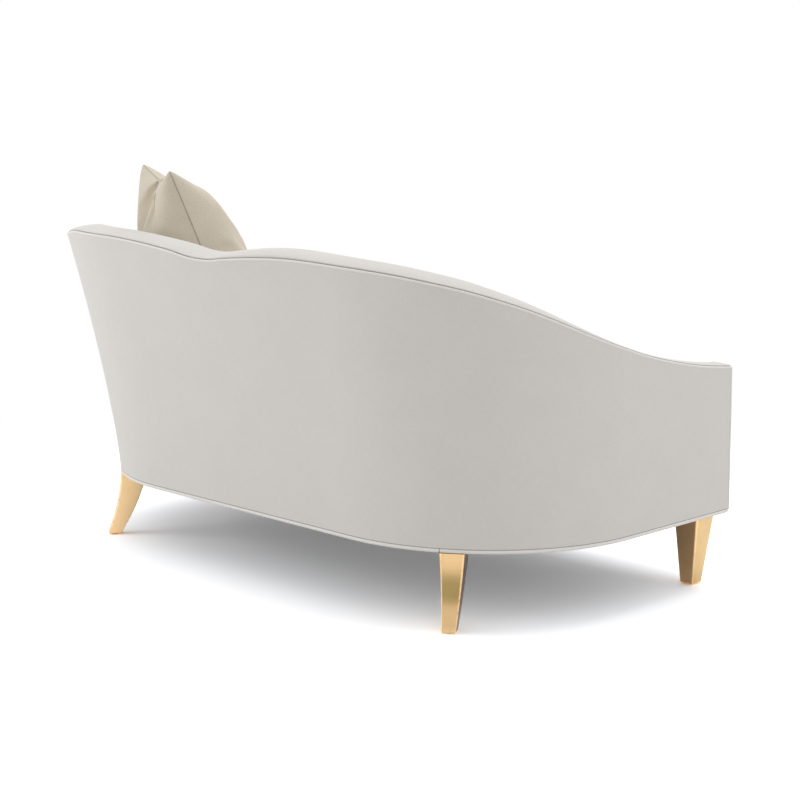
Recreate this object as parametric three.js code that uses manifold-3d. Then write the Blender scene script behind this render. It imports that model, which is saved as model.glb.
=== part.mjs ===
// A recamier: one padded wall sweeps from a low foot arm, round the back, up to a tall head end
// and down to the head arm. It holds a loose bench cushion and a throw pillow on gilded legs.
// Millimetres, +Z up, head end at +X, front at -Y, origin on the floor at the middle of the box.
import * as THREE from "three";
import { mergeVertices } from "three/addons/utils/BufferGeometryUtils.js";
import Module from "manifold-3d";

const wasm = await Module();
wasm.setup();

// Overall sizes
const baseWidth = 1825;
const baseDepth = 934.5;
const cornerRadius = 500;
const legHeight = 193.5;
const footArmHeight = 586;
const headHeight = 925;

// Fits between neighbouring pieces
const touchGap = 0.3;
const shellGap = 0.8;
const ribGap = 3;
const cushionGap = 4;

// Outward lean of the back and head end
const flareReach = 152;
const flareRise = 766;
const flarePower = 1.35;

// Padded wall: its thickness at the top and its swell at seat level
const footWallThickness = 120;
const backWallThickness = 155;
const footWallSwell = 15;
const backWallSwell = 30;
const crownHeight = 15.5;
const footCrownHeight = 7;
const rollDrop = 85;
const padThickness = 60;
const topPadThickness = 26;
const coverThickness = 9.7;

// Welts
const welt = { radius: 3, inset: 0.5, frontInset: 2.2, sides: 6 };
const bottomWelt = { radius: 6.25, inset: 3.5, sides: 8, spliceGap: 0.8, splice: 36 };

// Hardwood frame
const rail = { thickness: 28, topHeight: 318.5 };
const topRailHeight = 28;
const ribWidth = 22;
const cornerBlock = { length: 90, height: 58 };

// Seat suspension, deck and dust cover
const springWire = 4;
const springSwing = 22;
const springPitch = 42;
const springCount = 8;
const springSideRoom = 275;
const deckThickness = 20;
const dustCoverThickness = 2;

// Bench cushion
const cushion = {
  boxHeight: 150,
  crown: 15,
  frontInset: 12,
  cornerRound: 30,
  edgeRound: 10,
  drawIn: 5,
  shoulder: 5,
};

// Throw pillow, standing in the head corner
const pillow = {
  halfWidth: 260,
  halfHeight: 322,
  backBulge: 148,
  frontBulge: 138,
  notch: 24,
  seamThickness: 3,
  sideDrawShare: 0.1,
  endDrawShare: 0.07,
  notchWidthShare: 0.42,
  swellPower: 0.55,
  settle: 9.5,
  fromHead: 478,
  fromBack: 350,
  turn: THREE.MathUtils.degToRad(-28),
  lean: THREE.MathUtils.degToRad(21.4),
};

// Legs and their hardware
const frontLeg = {
  top: 78,
  foot: 40.5,
  footShift: 3,
  fromSide: 57.5,
  fromFront: 80,
  chamfer: 4,
};
const sabreLeg = {
  topWidth: 64,
  footWidth: 36,
  topDepth: 77,
  footDepth: 37,
  splay: 42,
  splayPower: 1.85,
  boltInset: 52,
  chamfer: 4,
};
const bolt = { radius: 4, inLeg: 48, standing: 12, pointLength: 6, pointRadius: 2, bevel: 1 };
const nut = { radius: 7.5, height: 6.5, washerRadius: 11, washerHeight: 1.6 };
const glide = { radius: 13, height: 1.5, rim: 0.6 };

// Counts that set how finely the curves are cut
const armSteps = 5;
const cornerSteps = 10;
const pillowSteps = 16;
const sabreSteps = 10;
const nutSides = 12;
const backSteps = 12;
const roundSides = 16;

// Height of the top seam along the wall: share of the run, share of the rise to the head peak
const topLineShares = [
  [0, 0],
  [0.02, 0.02],
  [0.047, 0.056],
  [0.1, 0.163],
  [0.149, 0.303],
  [0.187, 0.445],
  [0.22, 0.579],
  [0.25, 0.68],
  [0.278, 0.76],
  [0.333, 0.864],
  [0.4, 0.92],
  [0.439, 0.92],
  [0.483, 0.89],
  [0.502, 0.872],
  [0.515, 0.875],
  [0.537, 0.914],
  [0.566, 0.95],
  [0.609, 0.985],
  [0.657, 1],
  [0.68, 0.994],
  [0.734, 0.905],
  [0.77, 0.825],
  [0.818, 0.69],
  [0.866, 0.535],
  [0.92, 0.375],
  [0.96, 0.28],
  [1, 0.22],
];
// Where the wall begins to lean, where it leans in full, and where it has its full thickness
const leanStartShare = 0.15;
const leanFullShare = 0.75;
const fullThicknessShare = 0.7;
// Rolled top: share of the wall's thickness, of the crown, and of the drop to the inner face
const rollShares = [
  [0.06, 0.34, 0],
  [0.2, 0.74, 0],
  [0.38, 0.97, 0],
  [0.52, 1, 0],
  [0.67, 0.92, 0.07],
  [0.81, 0.75, 0.2],
  [0.92, 0.5, 0.42],
  [0.985, 0.2, 0.7],
  [1, 0, 1],
];
const weltButtShare = 0.1;
const levelShares = [0, 0.25, 0.5, 0.75, 1];
const sabreCornerShare = 0.627;
const rearBlockShares = [0.5, 0.7];
const roundCornerShares = [0, 0.25, 0.5, 0.75, 1];
const crownShares = [0.12, 0.3, 0.55, 0.8];
const cornerRibShare = 0.5;
const backRibShares = [0.02, 0.5, 0.98];
// Seat springs and the feet of the uprights share the top of the base rails
const ribFootShare = 0.5;
const springSeatShare = 0.25;

// Sizes that follow from the ones above
const armRun = baseDepth - cornerRadius;
const cornerRun = (cornerRadius * Math.PI) / 2;
const backRun = baseWidth - 2 * cornerRadius;
const wallRun = 2 * armRun + 2 * cornerRun + backRun;
const frontY = -baseDepth / 2;
const cornerY = baseDepth / 2 - cornerRadius;
const coverBottom = legHeight + 2 * bottomWelt.radius + touchGap;
const frameBottom = legHeight + dustCoverThickness + touchGap;
const railInset = coverThickness + shellGap;
const railInnerInset = railInset + rail.thickness;
const deckBottom = rail.topHeight + springWire + 2 * touchGap;
const deckTop = deckBottom + deckThickness;
const cushionBottom = deckTop + touchGap;
const cushionTop = cushionBottom + cushion.boxHeight;
const blockTop = frameBottom + cornerBlock.height;
const legTop = legHeight - touchGap;

// Materials
function finish(color, roughness, metalness = 0) {
  return new THREE.MeshStandardMaterial({ color, roughness, metalness });
}
const bodyFabric = () => finish(0xd9d6d2, 0.9);
const pillowFabric = () => finish(0xcfc5b4, 0.9);
const gildedWood = () => finish(0xd0a766, 0.4, 0.6);
const frameWood = () => finish(0xb8925f, 0.7);
const hardwareSteel = () => finish(0x9a9ca0, 0.4, 0.9);
const glidePlastic = () => finish(0x2b2b2b, 0.7);
const blackCambric = () => finish(0x1d1d1d, 0.95);

// A closed body from points and triangles, turned so that its faces point out
function closedGeometry(points, triangles) {
  let volume = 0;
  for (const [a, b, c] of triangles) {
    volume += points[a].dot(new THREE.Vector3().crossVectors(points[b], points[c]));
  }
  const outward = volume > 0 ? triangles : triangles.map(([a, b, c]) => [a, c, b]);
  const geometry = new THREE.BufferGeometry().setFromPoints(points);
  geometry.setIndex(outward.flat());
  return geometry;
}

// Triangles that close a ring, wound as the ring is
function capTriangles(ring) {
  const normal = new THREE.Vector3();
  ring.forEach((point, i) => {
    normal.add(new THREE.Vector3().crossVectors(point, ring[(i + 1) % ring.length]));
  });
  const across = new THREE.Vector3().subVectors(ring[1], ring[0]).normalize();
  const up = new THREE.Vector3().crossVectors(normal.normalize(), across).normalize();
  const flat = ring.map((point) => new THREE.Vector2(point.dot(across), point.dot(up)));
  const faces = THREE.ShapeUtils.triangulateShape(flat, []);
  const [a, b, c] = faces[0].map((i) => flat[i]);
  const flipped = (b.x - a.x) * (c.y - a.y) - (b.y - a.y) * (c.x - a.x) < 0;
  return flipped ? faces.map(([p, q, r]) => [p, r, q]) : faces;
}

// A solid skinned over a list of rings that all have the same number of points
function loft(rings) {
  const count = rings[0].length;
  const triangles = [];
  for (let i = 0; i + 1 < rings.length; i++) {
    for (let j = 0; j < count; j++) {
      const a = i * count + j;
      const b = i * count + ((j + 1) % count);
      triangles.push([a, b, b + count], [a, b + count, a + count]);
    }
  }
  const last = (rings.length - 1) * count;
  for (const [a, b, c] of capTriangles(rings[0])) triangles.push([a, c, b]);
  for (const [a, b, c] of capTriangles(rings[rings.length - 1])) {
    triangles.push([a + last, b + last, c + last]);
  }
  return closedGeometry(rings.flat(), triangles);
}

function box(xSpan, ySpan, zSpan) {
  const size = [xSpan, ySpan, zSpan].map(([low, high]) => high - low);
  const geometry = new THREE.BoxGeometry(...size);
  const middle = [xSpan, ySpan, zSpan].map(([low, high]) => (low + high) / 2);
  return geometry.translate(...middle);
}

// A turned piece on a vertical axis, from a profile of [radius, height] points
function turned(profile, x, y) {
  const points = profile.map(([radius, height]) => new THREE.Vector2(radius, height));
  const geometry = new THREE.LatheGeometry(points, roundSides);
  return geometry.rotateX(Math.PI / 2).translate(x, y, 0);
}

function solidOf(geometry) {
  const bare = new THREE.BufferGeometry();
  bare.setAttribute("position", geometry.getAttribute("position"));
  bare.setIndex(geometry.getIndex());
  const merged = mergeVertices(bare);
  return new wasm.Manifold(
    new wasm.Mesh({
      numProp: 3,
      vertProperties: new Float32Array(merged.attributes.position.array),
      triVerts: new Uint32Array(merged.index.array),
    }),
  );
}

// The first body with all the others cut out of it
function cut(body, cutters) {
  let solid = solidOf(body);
  for (const cutter of cutters) solid = solid.subtract(solidOf(cutter));
  const mesh = solid.getMesh();
  const geometry = new THREE.BufferGeometry();
  geometry.setAttribute("position", new THREE.BufferAttribute(mesh.vertProperties, 3));
  geometry.setIndex(new THREE.BufferAttribute(mesh.triVerts, 1));
  return geometry;
}

// A smooth curve through a table of [place, value] rows
function throughTable(rows, place) {
  let i = rows.findIndex(([at]) => at > place) - 1;
  if (i < 0) i = place <= rows[0][0] ? 0 : rows.length - 2;
  const slope = (k) => {
    const before = rows[Math.max(k - 1, 0)];
    const after = rows[Math.min(k + 1, rows.length - 1)];
    return (after[1] - before[1]) / (after[0] - before[0]);
  };
  const [x0, y0] = rows[i];
  const [x1, y1] = rows[i + 1];
  const t = THREE.MathUtils.clamp((place - x0) / (x1 - x0), 0, 1);
  const rise = (x1 - x0) * (slope(i) * t * (1 - t) ** 2 - slope(i + 1) * t ** 2 * (1 - t));
  return THREE.MathUtils.lerp(y0, y1, t * t * (3 - 2 * t)) + rise;
}

// Plan of the wall's foot: the point and its outward direction at a distance along the wall,
// from the front of the foot arm round the back to the front of the head arm
function planAt(run) {
  if (run <= armRun) return { x: -baseWidth / 2, y: frontY + run, nx: -1, ny: 0 };
  const footTurn = (run - armRun) / cornerRadius;
  if (footTurn <= Math.PI / 2) return roundCorner(-1, footTurn);
  const along = run - armRun - cornerRun;
  if (along <= backRun) {
    return { x: cornerRadius - baseWidth / 2 + along, y: baseDepth / 2, nx: 0, ny: 1 };
  }
  const headTurn = Math.PI / 2 - (along - backRun) / cornerRadius;
  if (headTurn >= 0) return roundCorner(1, headTurn);
  return { x: baseWidth / 2, y: cornerY - (along - backRun - cornerRun), nx: 1, ny: 0 };
}

// A point on a rear corner, turned from its arm (0) to the back (a right angle)
function roundCorner(side, turn) {
  const nx = side * Math.cos(turn);
  const ny = Math.sin(turn);
  const x = side * (baseWidth / 2 - cornerRadius) + nx * cornerRadius;
  return { x, y: cornerY + ny * cornerRadius, nx, ny };
}

function leanAt(run) {
  const start = armRun + leanStartShare * cornerRun;
  const full = armRun + cornerRun + leanFullShare * backRun;
  return THREE.MathUtils.smoothstep(run, start, full);
}

// How far the outer face stands outside its foot at a height
function outerReach(run, z) {
  const share = Math.max(0, (z - legHeight) / flareRise);
  return leanAt(run) * flareReach * share ** flarePower;
}

function wallPoint(run, inset, z) {
  const plan = planAt(run);
  const reach = outerReach(run, z) - inset;
  return new THREE.Vector3(plan.x + plan.nx * reach, plan.y + plan.ny * reach, z);
}

function topHeight(run) {
  const rise = headHeight - footArmHeight;
  return footArmHeight + rise * throughTable(topLineShares, run / wallRun);
}

// 0 at the front of the foot arm, 1 where the wall has its full thickness
function fullness(run) {
  return THREE.MathUtils.smoothstep(run, 0, armRun + fullThicknessShare * cornerRun);
}

function crownAt(run) {
  return THREE.MathUtils.lerp(footCrownHeight, crownHeight, fullness(run));
}

// Inset of the wall's inner face from its outer face
function innerInset(run, z) {
  const full = fullness(run);
  const thickness = THREE.MathUtils.lerp(footWallThickness, backWallThickness, full);
  const swell = THREE.MathUtils.lerp(footWallSwell, backWallSwell, full);
  const level = Math.max(z, deckTop);
  const share = (level - deckTop) / (topHeight(run) - rollDrop - deckTop);
  const inset = thickness + swell * (1 - THREE.MathUtils.clamp(share, 0, 1));
  return inset - (outerReach(run, level) - outerReach(run, z));
}

// Places along the wall where it is cut into flat steps
const wallStations = [];
for (const [start, length, steps] of [
  [0, armRun, armSteps],
  [armRun, cornerRun, cornerSteps],
  [armRun + cornerRun, backRun, backSteps],
  [armRun + cornerRun + backRun, cornerRun, cornerSteps],
  [wallRun - armRun, armRun, armSteps],
]) {
  for (let i = 0; i < steps; i++) wallStations.push(start + (length * i) / steps);
}

function stationsBetween(from, to) {
  const inside = wallStations.filter((run) => run > from + shellGap && run < to - shellGap);
  return [from, ...inside, to];
}

// A solid that follows the wall, from its section as [inset, height] points
function alongWall(from, to, section) {
  const ring = (run) => section(run).map(([inset, z]) => wallPoint(run, inset, z));
  return loft(stationsBetween(from, to).map(ring));
}

function between(low, high) {
  return levelShares.map((share) => THREE.MathUtils.lerp(low, high, share));
}

// A round cord's section about a centre given as [inset, height]
function cordSection(inset, z, radius, sides) {
  return Array.from({ length: sides }, (_, i) => {
    const turn = ((i + 1 / 2) * 2 * Math.PI) / sides;
    return [inset + radius * Math.cos(turn), z + radius * Math.sin(turn)];
  });
}

// A welt along a path that lies in one plane, with the plane's normal
function flatCord(path, normal) {
  const section = cordSection(0, 0, welt.radius, welt.sides);
  const rings = path.map((point, i) => {
    const before = path[Math.max(i - 1, 0)];
    const after = path[Math.min(i + 1, path.length - 1)];
    const one = new THREE.Vector3().subVectors(point, before).normalize();
    const two = new THREE.Vector3().subVectors(after, point).normalize();
    const side = one.add(two).cross(normal).normalize();
    return section.map(([out, up]) =>
      point.clone().addScaledVector(side, out).addScaledVector(normal, up),
    );
  });
  return loft(rings);
}

// Outline of the finished wall from the outer foot over the roll to the inner foot
function wallOutline(run) {
  const top = topHeight(run);
  const crown = crownAt(run);
  const thickness = innerInset(run, top - rollDrop);
  const outer = [rail.topHeight, ...between(rail.topHeight, top - welt.radius).slice(1)];
  const inner = between(top - rollDrop, deckTop).slice(1);
  return [
    [0, coverBottom],
    ...outer.map((z) => [0, z]),
    ...rollPoints(top, crown, thickness),
    ...inner.map((z) => [innerInset(run, z), z]),
    [innerInset(run, coverBottom), coverBottom],
  ];
}

function rollPoints(top, crown, thickness) {
  return rollShares.map(([inset, rise, drop]) => [
    inset * thickness,
    top + welt.radius + rise * crown - drop * (rollDrop + welt.radius),
  ]);
}

// Covers and padding

function outsideCover() {
  const section = (run) => {
    const top = topHeight(run) - welt.radius - touchGap;
    const levels = [coverBottom, ...between(rail.topHeight, top)];
    const outer = levels.map((z) => [0, z]);
    const inner = levels.map((z) => [coverThickness, z]).reverse();
    return [...outer, ...inner];
  };
  const end = coverThickness + touchGap;
  return alongWall(end, wallRun - end, section);
}

function insideUpholstery() {
  const section = (run) => {
    const top = topHeight(run);
    const thickness = innerInset(run, top - rollDrop);
    const face = between(top - rollDrop, deckBottom).slice(1);
    const back = between(deckBottom, top - rollDrop);
    const padBack = (z) => Math.max(innerInset(run, z) - padThickness, railInset);
    return [
      [0, top + welt.radius + touchGap],
      ...rollPoints(top, crownAt(run), thickness),
      ...face.map((z) => [innerInset(run, z), z]),
      ...back.map((z) => [padBack(z), z]),
      [padBack(top - rollDrop), top - topPadThickness],
      [railInset, top - topPadThickness],
      [railInset, top - touchGap],
    ];
  };
  const end = coverThickness + touchGap;
  return alongWall(end, wallRun - end, section);
}

function topWelt() {
  const section = (run) => cordSection(welt.inset, topHeight(run), welt.radius, welt.sides);
  const end = coverThickness + touchGap;
  return alongWall(end, wallRun - end, section);
}

// One cord under the whole edge, from its butt splice by the foot end's rear leg right round
function bottomWeltCord() {
  const z = legHeight + bottomWelt.radius;
  const start = sabreRun(-1) + bottomWelt.splice;
  const fullLoop = [
    ...stationsBetween(start + bottomWelt.spliceGap, wallRun),
    ...stationsBetween(0, start),
  ];
  const rings = fullLoop.map((run) => {
    const plan = planAt(run);
    const atFront = run === 0 || run === wallRun;
    const forward = atFront ? -1 : plan.ny;
    return cordSection(bottomWelt.inset, z, bottomWelt.radius, bottomWelt.sides).map(
      ([inset, height]) =>
        new THREE.Vector3(plan.x - plan.nx * inset, plan.y - forward * inset, height),
    );
  });
  return loft(rings);
}

// The outline of an arm's front, drawn in by an inset, as points on the front plane
function armFrontPath(side, inset) {
  const run = side < 0 ? 0 : wallRun;
  const path = wallOutline(run).map(([depth, z]) => wallPoint(run, depth, z));
  return path.map((point, i) => {
    const before = path[Math.max(i - 1, 0)];
    const after = path[Math.min(i + 1, path.length - 1)];
    const along = new THREE.Vector3().subVectors(after, before).normalize();
    const inward = new THREE.Vector3(-side * along.z, 0, side * along.x);
    const atEnd = i === 0 || i === path.length - 1;
    if (atEnd) inward.set(Math.sign(inward.x), 0, 0);
    return point.clone().addScaledVector(inward, inset);
  });
}

// The padded board on an arm's front, with a rebate round its edge for the welt
function armFrontPanel(side) {
  const rebate = welt.frontInset + welt.radius + shellGap;
  const face = armFrontPath(side, rebate);
  const full = armFrontPath(side, 0);
  const back = (path, depth) => path.map((point) => point.clone().setY(frontY + depth));
  return loft([
    face,
    back(face, rebate),
    back(full, rebate),
    back(full, coverThickness),
  ]);
}

function armFrontWelt(side) {
  const points = armFrontPath(side, welt.frontInset);
  const path = points.map((point) => point.setY(frontY + welt.frontInset));
  return flatCord(path, new THREE.Vector3(0, 1, 0));
}

function armInnerX(side) {
  const run = side < 0 ? 0 : wallRun;
  return wallPoint(run, innerInset(run, coverBottom), coverBottom).x;
}

function frontBorder() {
  const room = welt.radius - welt.frontInset + touchGap;
  const spanX = [armInnerX(-1) + room, armInnerX(1) - room];
  const spanY = [frontY, frontY + coverThickness];
  const turn = coverThickness / 2;
  const side = [
    [spanY[0], coverBottom],
    [spanY[0], deckTop - turn],
    [spanY[0] + turn / 2, deckTop - turn / 2],
    [spanY[1], deckTop],
    [spanY[1], coverBottom],
  ];
  return loft(spanX.map((x) => side.map(([y, z]) => new THREE.Vector3(x, y, z))));
}

// Plan of the seat, a clearance inside the wall's inner face at a height
function seatPlan(z, clearance, frontInset, round = 0) {
  const start = frontInset + round;
  const plan = stationsBetween(start, wallRun - start).map((run) => {
    const point = wallPoint(run, innerInset(run, z) + clearance, z);
    return new THREE.Vector2(point.x, point.y);
  });
  if (!round) return plan;
  const headX = plan[plan.length - 1].x - round;
  const footX = plan[0].x + round;
  const headShares = roundCornerShares.slice(1);
  const footShares = roundCornerShares.slice(0, -1);
  for (const [centreX, from, shares] of [[headX, 0, headShares], [footX, 1, footShares]]) {
    for (const share of shares) {
      const turn = (-(from + share) * Math.PI) / 2;
      const out = new THREE.Vector2(Math.cos(turn), Math.sin(turn)).multiplyScalar(round);
      plan.push(out.add(new THREE.Vector2(centreX, frontY + start)));
    }
  }
  return plan;
}

// A plan drawn in by a distance, square to its own edges
function drawnIn(plan, distance) {
  return plan.map((point, i) => {
    const before = plan[(i + plan.length - 1) % plan.length];
    const after = plan[(i + 1) % plan.length];
    const one = new THREE.Vector2().subVectors(point, before).normalize();
    const two = new THREE.Vector2().subVectors(after, point).normalize();
    const along = one.clone().add(two).normalize();
    const mitred = distance / Math.max(along.dot(one), 1 / 2);
    return new THREE.Vector2(point.x + along.y * mitred, point.y - along.x * mitred);
  });
}

function raised(plan, z) {
  return plan.map((point) => new THREE.Vector3(point.x, point.y, z));
}

function seatDeck() {
  const plan = seatPlan(deckBottom, shellGap, coverThickness + touchGap);
  return loft([raised(plan, deckBottom), raised(plan, deckTop)]);
}

function dustCover() {
  const runs = stationsBetween(railInset, wallRun - railInset);
  const plan = runs.map((run) => wallPoint(run, railInset, legHeight));
  const flat = plan.map((point) => new THREE.Vector2(point.x, point.y));
  const sheet = loft([raised(flat, legHeight), raised(flat, legHeight + dustCoverThickness)]);
  return cut(sheet, legPlaces.map(({ boltX, boltY }) => boltBore(boltX, boltY)));
}

// Frame

function railSection(bottom, top) {
  return () => [
    [railInset, bottom],
    [railInset, top],
    [railInnerInset, top],
    [railInnerInset, bottom],
  ];
}

function baseRail(from, to) {
  return alongWall(from, to, railSection(frameBottom, rail.topHeight));
}

function frontRail() {
  const reach = baseWidth / 2 - railInnerInset - touchGap;
  const low = frontY + coverThickness + touchGap;
  return box([-reach, reach], [low, low + rail.thickness], [frameBottom, rail.topHeight]);
}

function rib(centre) {
  const first = coverThickness + touchGap;
  const middle = THREE.MathUtils.clamp(
    centre,
    first + ribWidth / 2,
    wallRun - first - ribWidth / 2,
  );
  const section = (run) => {
    const top = topHeight(run) - topPadThickness - topRailHeight - touchGap - ribGap;
    const back = (z) => Math.max(innerInset(run, z) - padThickness, railInnerInset) - ribGap;
    const foot = railInset + ribFootShare * rail.thickness;
    const levels = between(deckBottom, top);
    return [
      [railInset + ribGap, rail.topHeight + touchGap],
      ...levels.map((z) => [railInset + ribGap, z]),
      ...levels.map((z) => [back(z), z]).reverse(),
      [foot, deckBottom],
      [foot, rail.topHeight + touchGap],
    ];
  };
  return alongWall(middle - ribWidth / 2, middle + ribWidth / 2, section);
}

function topRail(from, to) {
  const section = (run) => {
    const top = topHeight(run) - topPadThickness - touchGap;
    const inner = innerInset(run, topHeight(run) - rollDrop) - padThickness - shellGap;
    return [
      [railInset, top],
      [railInset, top - topRailHeight],
      [inner, top - topRailHeight],
      [inner, top],
    ];
  };
  return alongWall(from, to, section);
}

// Seat springs: a flat wave of wire from the front rail to the rail behind

function rearRailY(x) {
  const reach = cornerRadius - railInnerInset;
  const past = Math.max(0, Math.abs(x) - (baseWidth / 2 - cornerRadius));
  return cornerY + Math.sqrt(Math.max(0, reach ** 2 - past ** 2));
}

function seatSpring(x) {
  const start = frontY + coverThickness + rail.thickness / 2;
  const end = rearRailY(x) + springSeatShare * rail.thickness;
  const waves = Math.round((end - start) / springPitch);
  const half = springWire / 2;
  const places = Array.from({ length: waves + 1 }, (_, i) => {
    const sway = i === 0 || i === waves ? 0 : (i % 2 ? 1 : -1) * springSwing;
    return new THREE.Vector2(x + sway, start + ((end - start) * i) / waves);
  });
  const edge = (side) =>
    places.map((place, i) => {
      const before = places[Math.max(i - 1, 0)];
      const after = places[Math.min(i + 1, waves)];
      const one = new THREE.Vector2().subVectors(place, before).normalize();
      const two = new THREE.Vector2().subVectors(after, place).normalize();
      const along = one.clone().add(two).normalize();
      const mitre = Math.max(1 / 2, Math.abs(along.dot(i ? one : two)));
      return new THREE.Vector2(-along.y, along.x)
        .multiplyScalar((side * half) / mitre)
        .add(place);
    });
  const shape = new THREE.Shape([...edge(1), ...edge(-1).reverse()]);
  const wave = new THREE.ExtrudeGeometry(shape, { depth: springWire, bevelEnabled: false });
  return wave.translate(0, 0, rail.topHeight + touchGap);
}

// Legs

function sabreRun(side) {
  const inCorner = sabreCornerShare * cornerRun;
  return side < 0 ? armRun + inCorner : wallRun - armRun - inCorner;
}

// A square with its corners taken off, as [across, outward] points
function chamferedSquare(halfWidth, outer, inner, chamfer) {
  return [
    [halfWidth - chamfer, outer],
    [halfWidth, outer - chamfer],
    [halfWidth, inner + chamfer],
    [halfWidth - chamfer, inner],
    [chamfer - halfWidth, inner],
    [-halfWidth, inner + chamfer],
    [-halfWidth, outer - chamfer],
    [chamfer - halfWidth, outer],
  ];
}

// A rear leg that curves outward as it comes down, square to the round corner
function sabreLegBody(side) {
  const plan = planAt(sabreRun(side));
  const rings = Array.from({ length: sabreSteps + 1 }, (_, i) => {
    const down = i / sabreSteps;
    const outer = sabreLeg.splay * down ** sabreLeg.splayPower;
    const depth = THREE.MathUtils.lerp(sabreLeg.topDepth, sabreLeg.footDepth, down);
    const half = THREE.MathUtils.lerp(sabreLeg.topWidth, sabreLeg.footWidth, down) / 2;
    const z = THREE.MathUtils.lerp(legTop, glide.height, down);
    return chamferedSquare(half, outer, outer - depth, sabreLeg.chamfer).map(
      ([across, out]) =>
        new THREE.Vector3(
          plan.x + plan.nx * out - plan.ny * across,
          plan.y + plan.ny * out + plan.nx * across,
          z,
        ),
    );
  });
  return loft(rings);
}

// A front leg, tapered a little more on its two outer faces than on its inner ones
function frontLegBody({ boltX, boltY, footX, footY }) {
  const rings = [
    [frontLeg.top, boltX, boltY, legTop],
    [frontLeg.foot, footX, footY, glide.height],
  ].map(([width, x, y, z]) =>
    chamferedSquare(width / 2, width / 2, -width / 2, frontLeg.chamfer).map(
      ([across, out]) => new THREE.Vector3(x + across, y + out, z),
    ),
  );
  return loft(rings);
}

function legPlace(name, side, front) {
  if (front) {
    const x = side * (baseWidth / 2 - frontLeg.fromSide);
    const y = frontY + frontLeg.fromFront;
    const footX = x - side * frontLeg.footShift;
    const footY = y + frontLeg.footShift;
    return { name, side, front, boltX: x, boltY: y, footX, footY };
  }
  const plan = planAt(sabreRun(side));
  const foot = sabreLeg.splay - sabreLeg.footDepth / 2;
  return {
    name,
    side,
    front,
    boltX: plan.x - plan.nx * sabreLeg.boltInset,
    boltY: plan.y - plan.ny * sabreLeg.boltInset,
    footX: plan.x + plan.nx * foot,
    footY: plan.y + plan.ny * foot,
  };
}

const legPlaces = [
  legPlace("front_foot_end", -1, true),
  legPlace("front_head_end", 1, true),
  legPlace("rear_foot_end", -1, false),
  legPlace("rear_head_end", 1, false),
];

// A shaft a clearance wider than the bolt, from the bottom of its hole to above its block
function boltBore(x, y) {
  const radius = bolt.radius + touchGap;
  const bottom = legHeight - bolt.inLeg - touchGap;
  const top = blockTop + bolt.standing;
  return turned([[0, bottom], [radius, bottom], [radius, top], [0, top]], x, y);
}

function legBody(place) {
  const body = place.front ? frontLegBody(place) : sabreLegBody(place.side);
  return cut(body, [boltBore(place.boltX, place.boltY)]);
}

function hangerBolt({ boltX, boltY }) {
  const bottom = legHeight - bolt.inLeg;
  const top = blockTop + bolt.standing;
  const profile = [
    [0, bottom],
    [bolt.pointRadius, bottom],
    [bolt.radius, bottom + bolt.pointLength],
    [bolt.radius, top - bolt.bevel],
    [bolt.radius - bolt.bevel, top],
    [0, top],
  ];
  return turned(profile, boltX, boltY);
}

// A flanged nut, turned in flats
function boltNut({ boltX, boltY }) {
  const low = blockTop + touchGap;
  const flange = low + nut.washerHeight;
  const top = low + nut.height;
  const bore = bolt.radius + touchGap;
  const shape = [
    [bore, low],
    [nut.washerRadius, low],
    [nut.washerRadius, flange],
    [nut.radius, flange],
    [nut.radius, top],
    [bore, top],
    [bore, low],
  ].map(([radius, height]) => new THREE.Vector2(radius, height));
  return new THREE.LatheGeometry(shape, nutSides)
    .rotateX(Math.PI / 2)
    .translate(boltX, boltY, 0);
}

function legGlide({ footX, footY }) {
  const profile = [
    [0, 0],
    [glide.radius - glide.rim, 0],
    [glide.radius, glide.rim],
    [glide.radius, glide.height],
    [0, glide.height],
  ];
  return turned(profile, footX, footY);
}

function legBlock({ side, front, boltX, boltY }) {
  if (!front) {
    const [near, far] = rearBlockShares.map((share) => armRun + share * cornerRun);
    const inner = railInnerInset + touchGap;
    const section = () => [
      [inner, frameBottom],
      [inner, blockTop],
      [inner + cornerBlock.length, blockTop],
      [inner + cornerBlock.length, frameBottom],
    ];
    const span = side < 0 ? [near, far] : [wallRun - far, wallRun - near];
    return cut(alongWall(...span, section), [boltBore(boltX, boltY)]);
  }
  const nearX = side * (baseWidth / 2 - railInnerInset - touchGap);
  const farX = nearX - side * cornerBlock.length;
  const nearY = frontY + coverThickness + rail.thickness + 2 * touchGap;
  const block = box(
    [Math.min(nearX, farX), Math.max(nearX, farX)],
    [nearY, nearY + cornerBlock.length],
    [frameBottom, blockTop],
  );
  return cut(block, [boltBore(boltX, boltY)]);
}

// Loose cushions

function cushionPlan() {
  return seatPlan(deckTop, cushionGap, cushion.frontInset, cushion.cornerRound);
}

// Bench cushion: boxed sides drawn in between two welts, under a crowned top
function seatCushion() {
  const plan = cushionPlan();
  const groove = 2 * welt.radius + touchGap;
  const low = cushionBottom + cushion.edgeRound;
  const high = cushionTop - cushion.edgeRound;
  const side = [
    [cushion.edgeRound + groove, cushionBottom],
    [groove, low - welt.radius - touchGap],
    [groove, low + welt.radius + touchGap],
    [cushion.shoulder / 2, low + 2 * welt.radius],
    [cushion.shoulder / 2 + cushion.drawIn, (low + high) / 2],
    [cushion.shoulder / 2, high - 2 * welt.radius],
    [groove, high - welt.radius - touchGap],
    [groove, high + welt.radius + touchGap],
    [cushion.edgeRound + groove, cushionTop],
  ];
  const rings = side.map(([inset, z]) => raised(drawnIn(plan, inset), z));
  const rim = drawnIn(plan, cushion.edgeRound + groove);
  const middle = rim.reduce((sum, point) => sum.add(point), new THREE.Vector2());
  middle.divideScalar(rim.length);
  for (const share of crownShares) {
    const shrunk = rim.map((point) => point.clone().lerp(middle, share));
    rings.push(raised(shrunk, cushionTop + cushion.crown * (1 - (1 - share) ** 3)));
  }
  return loft(rings);
}

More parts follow.
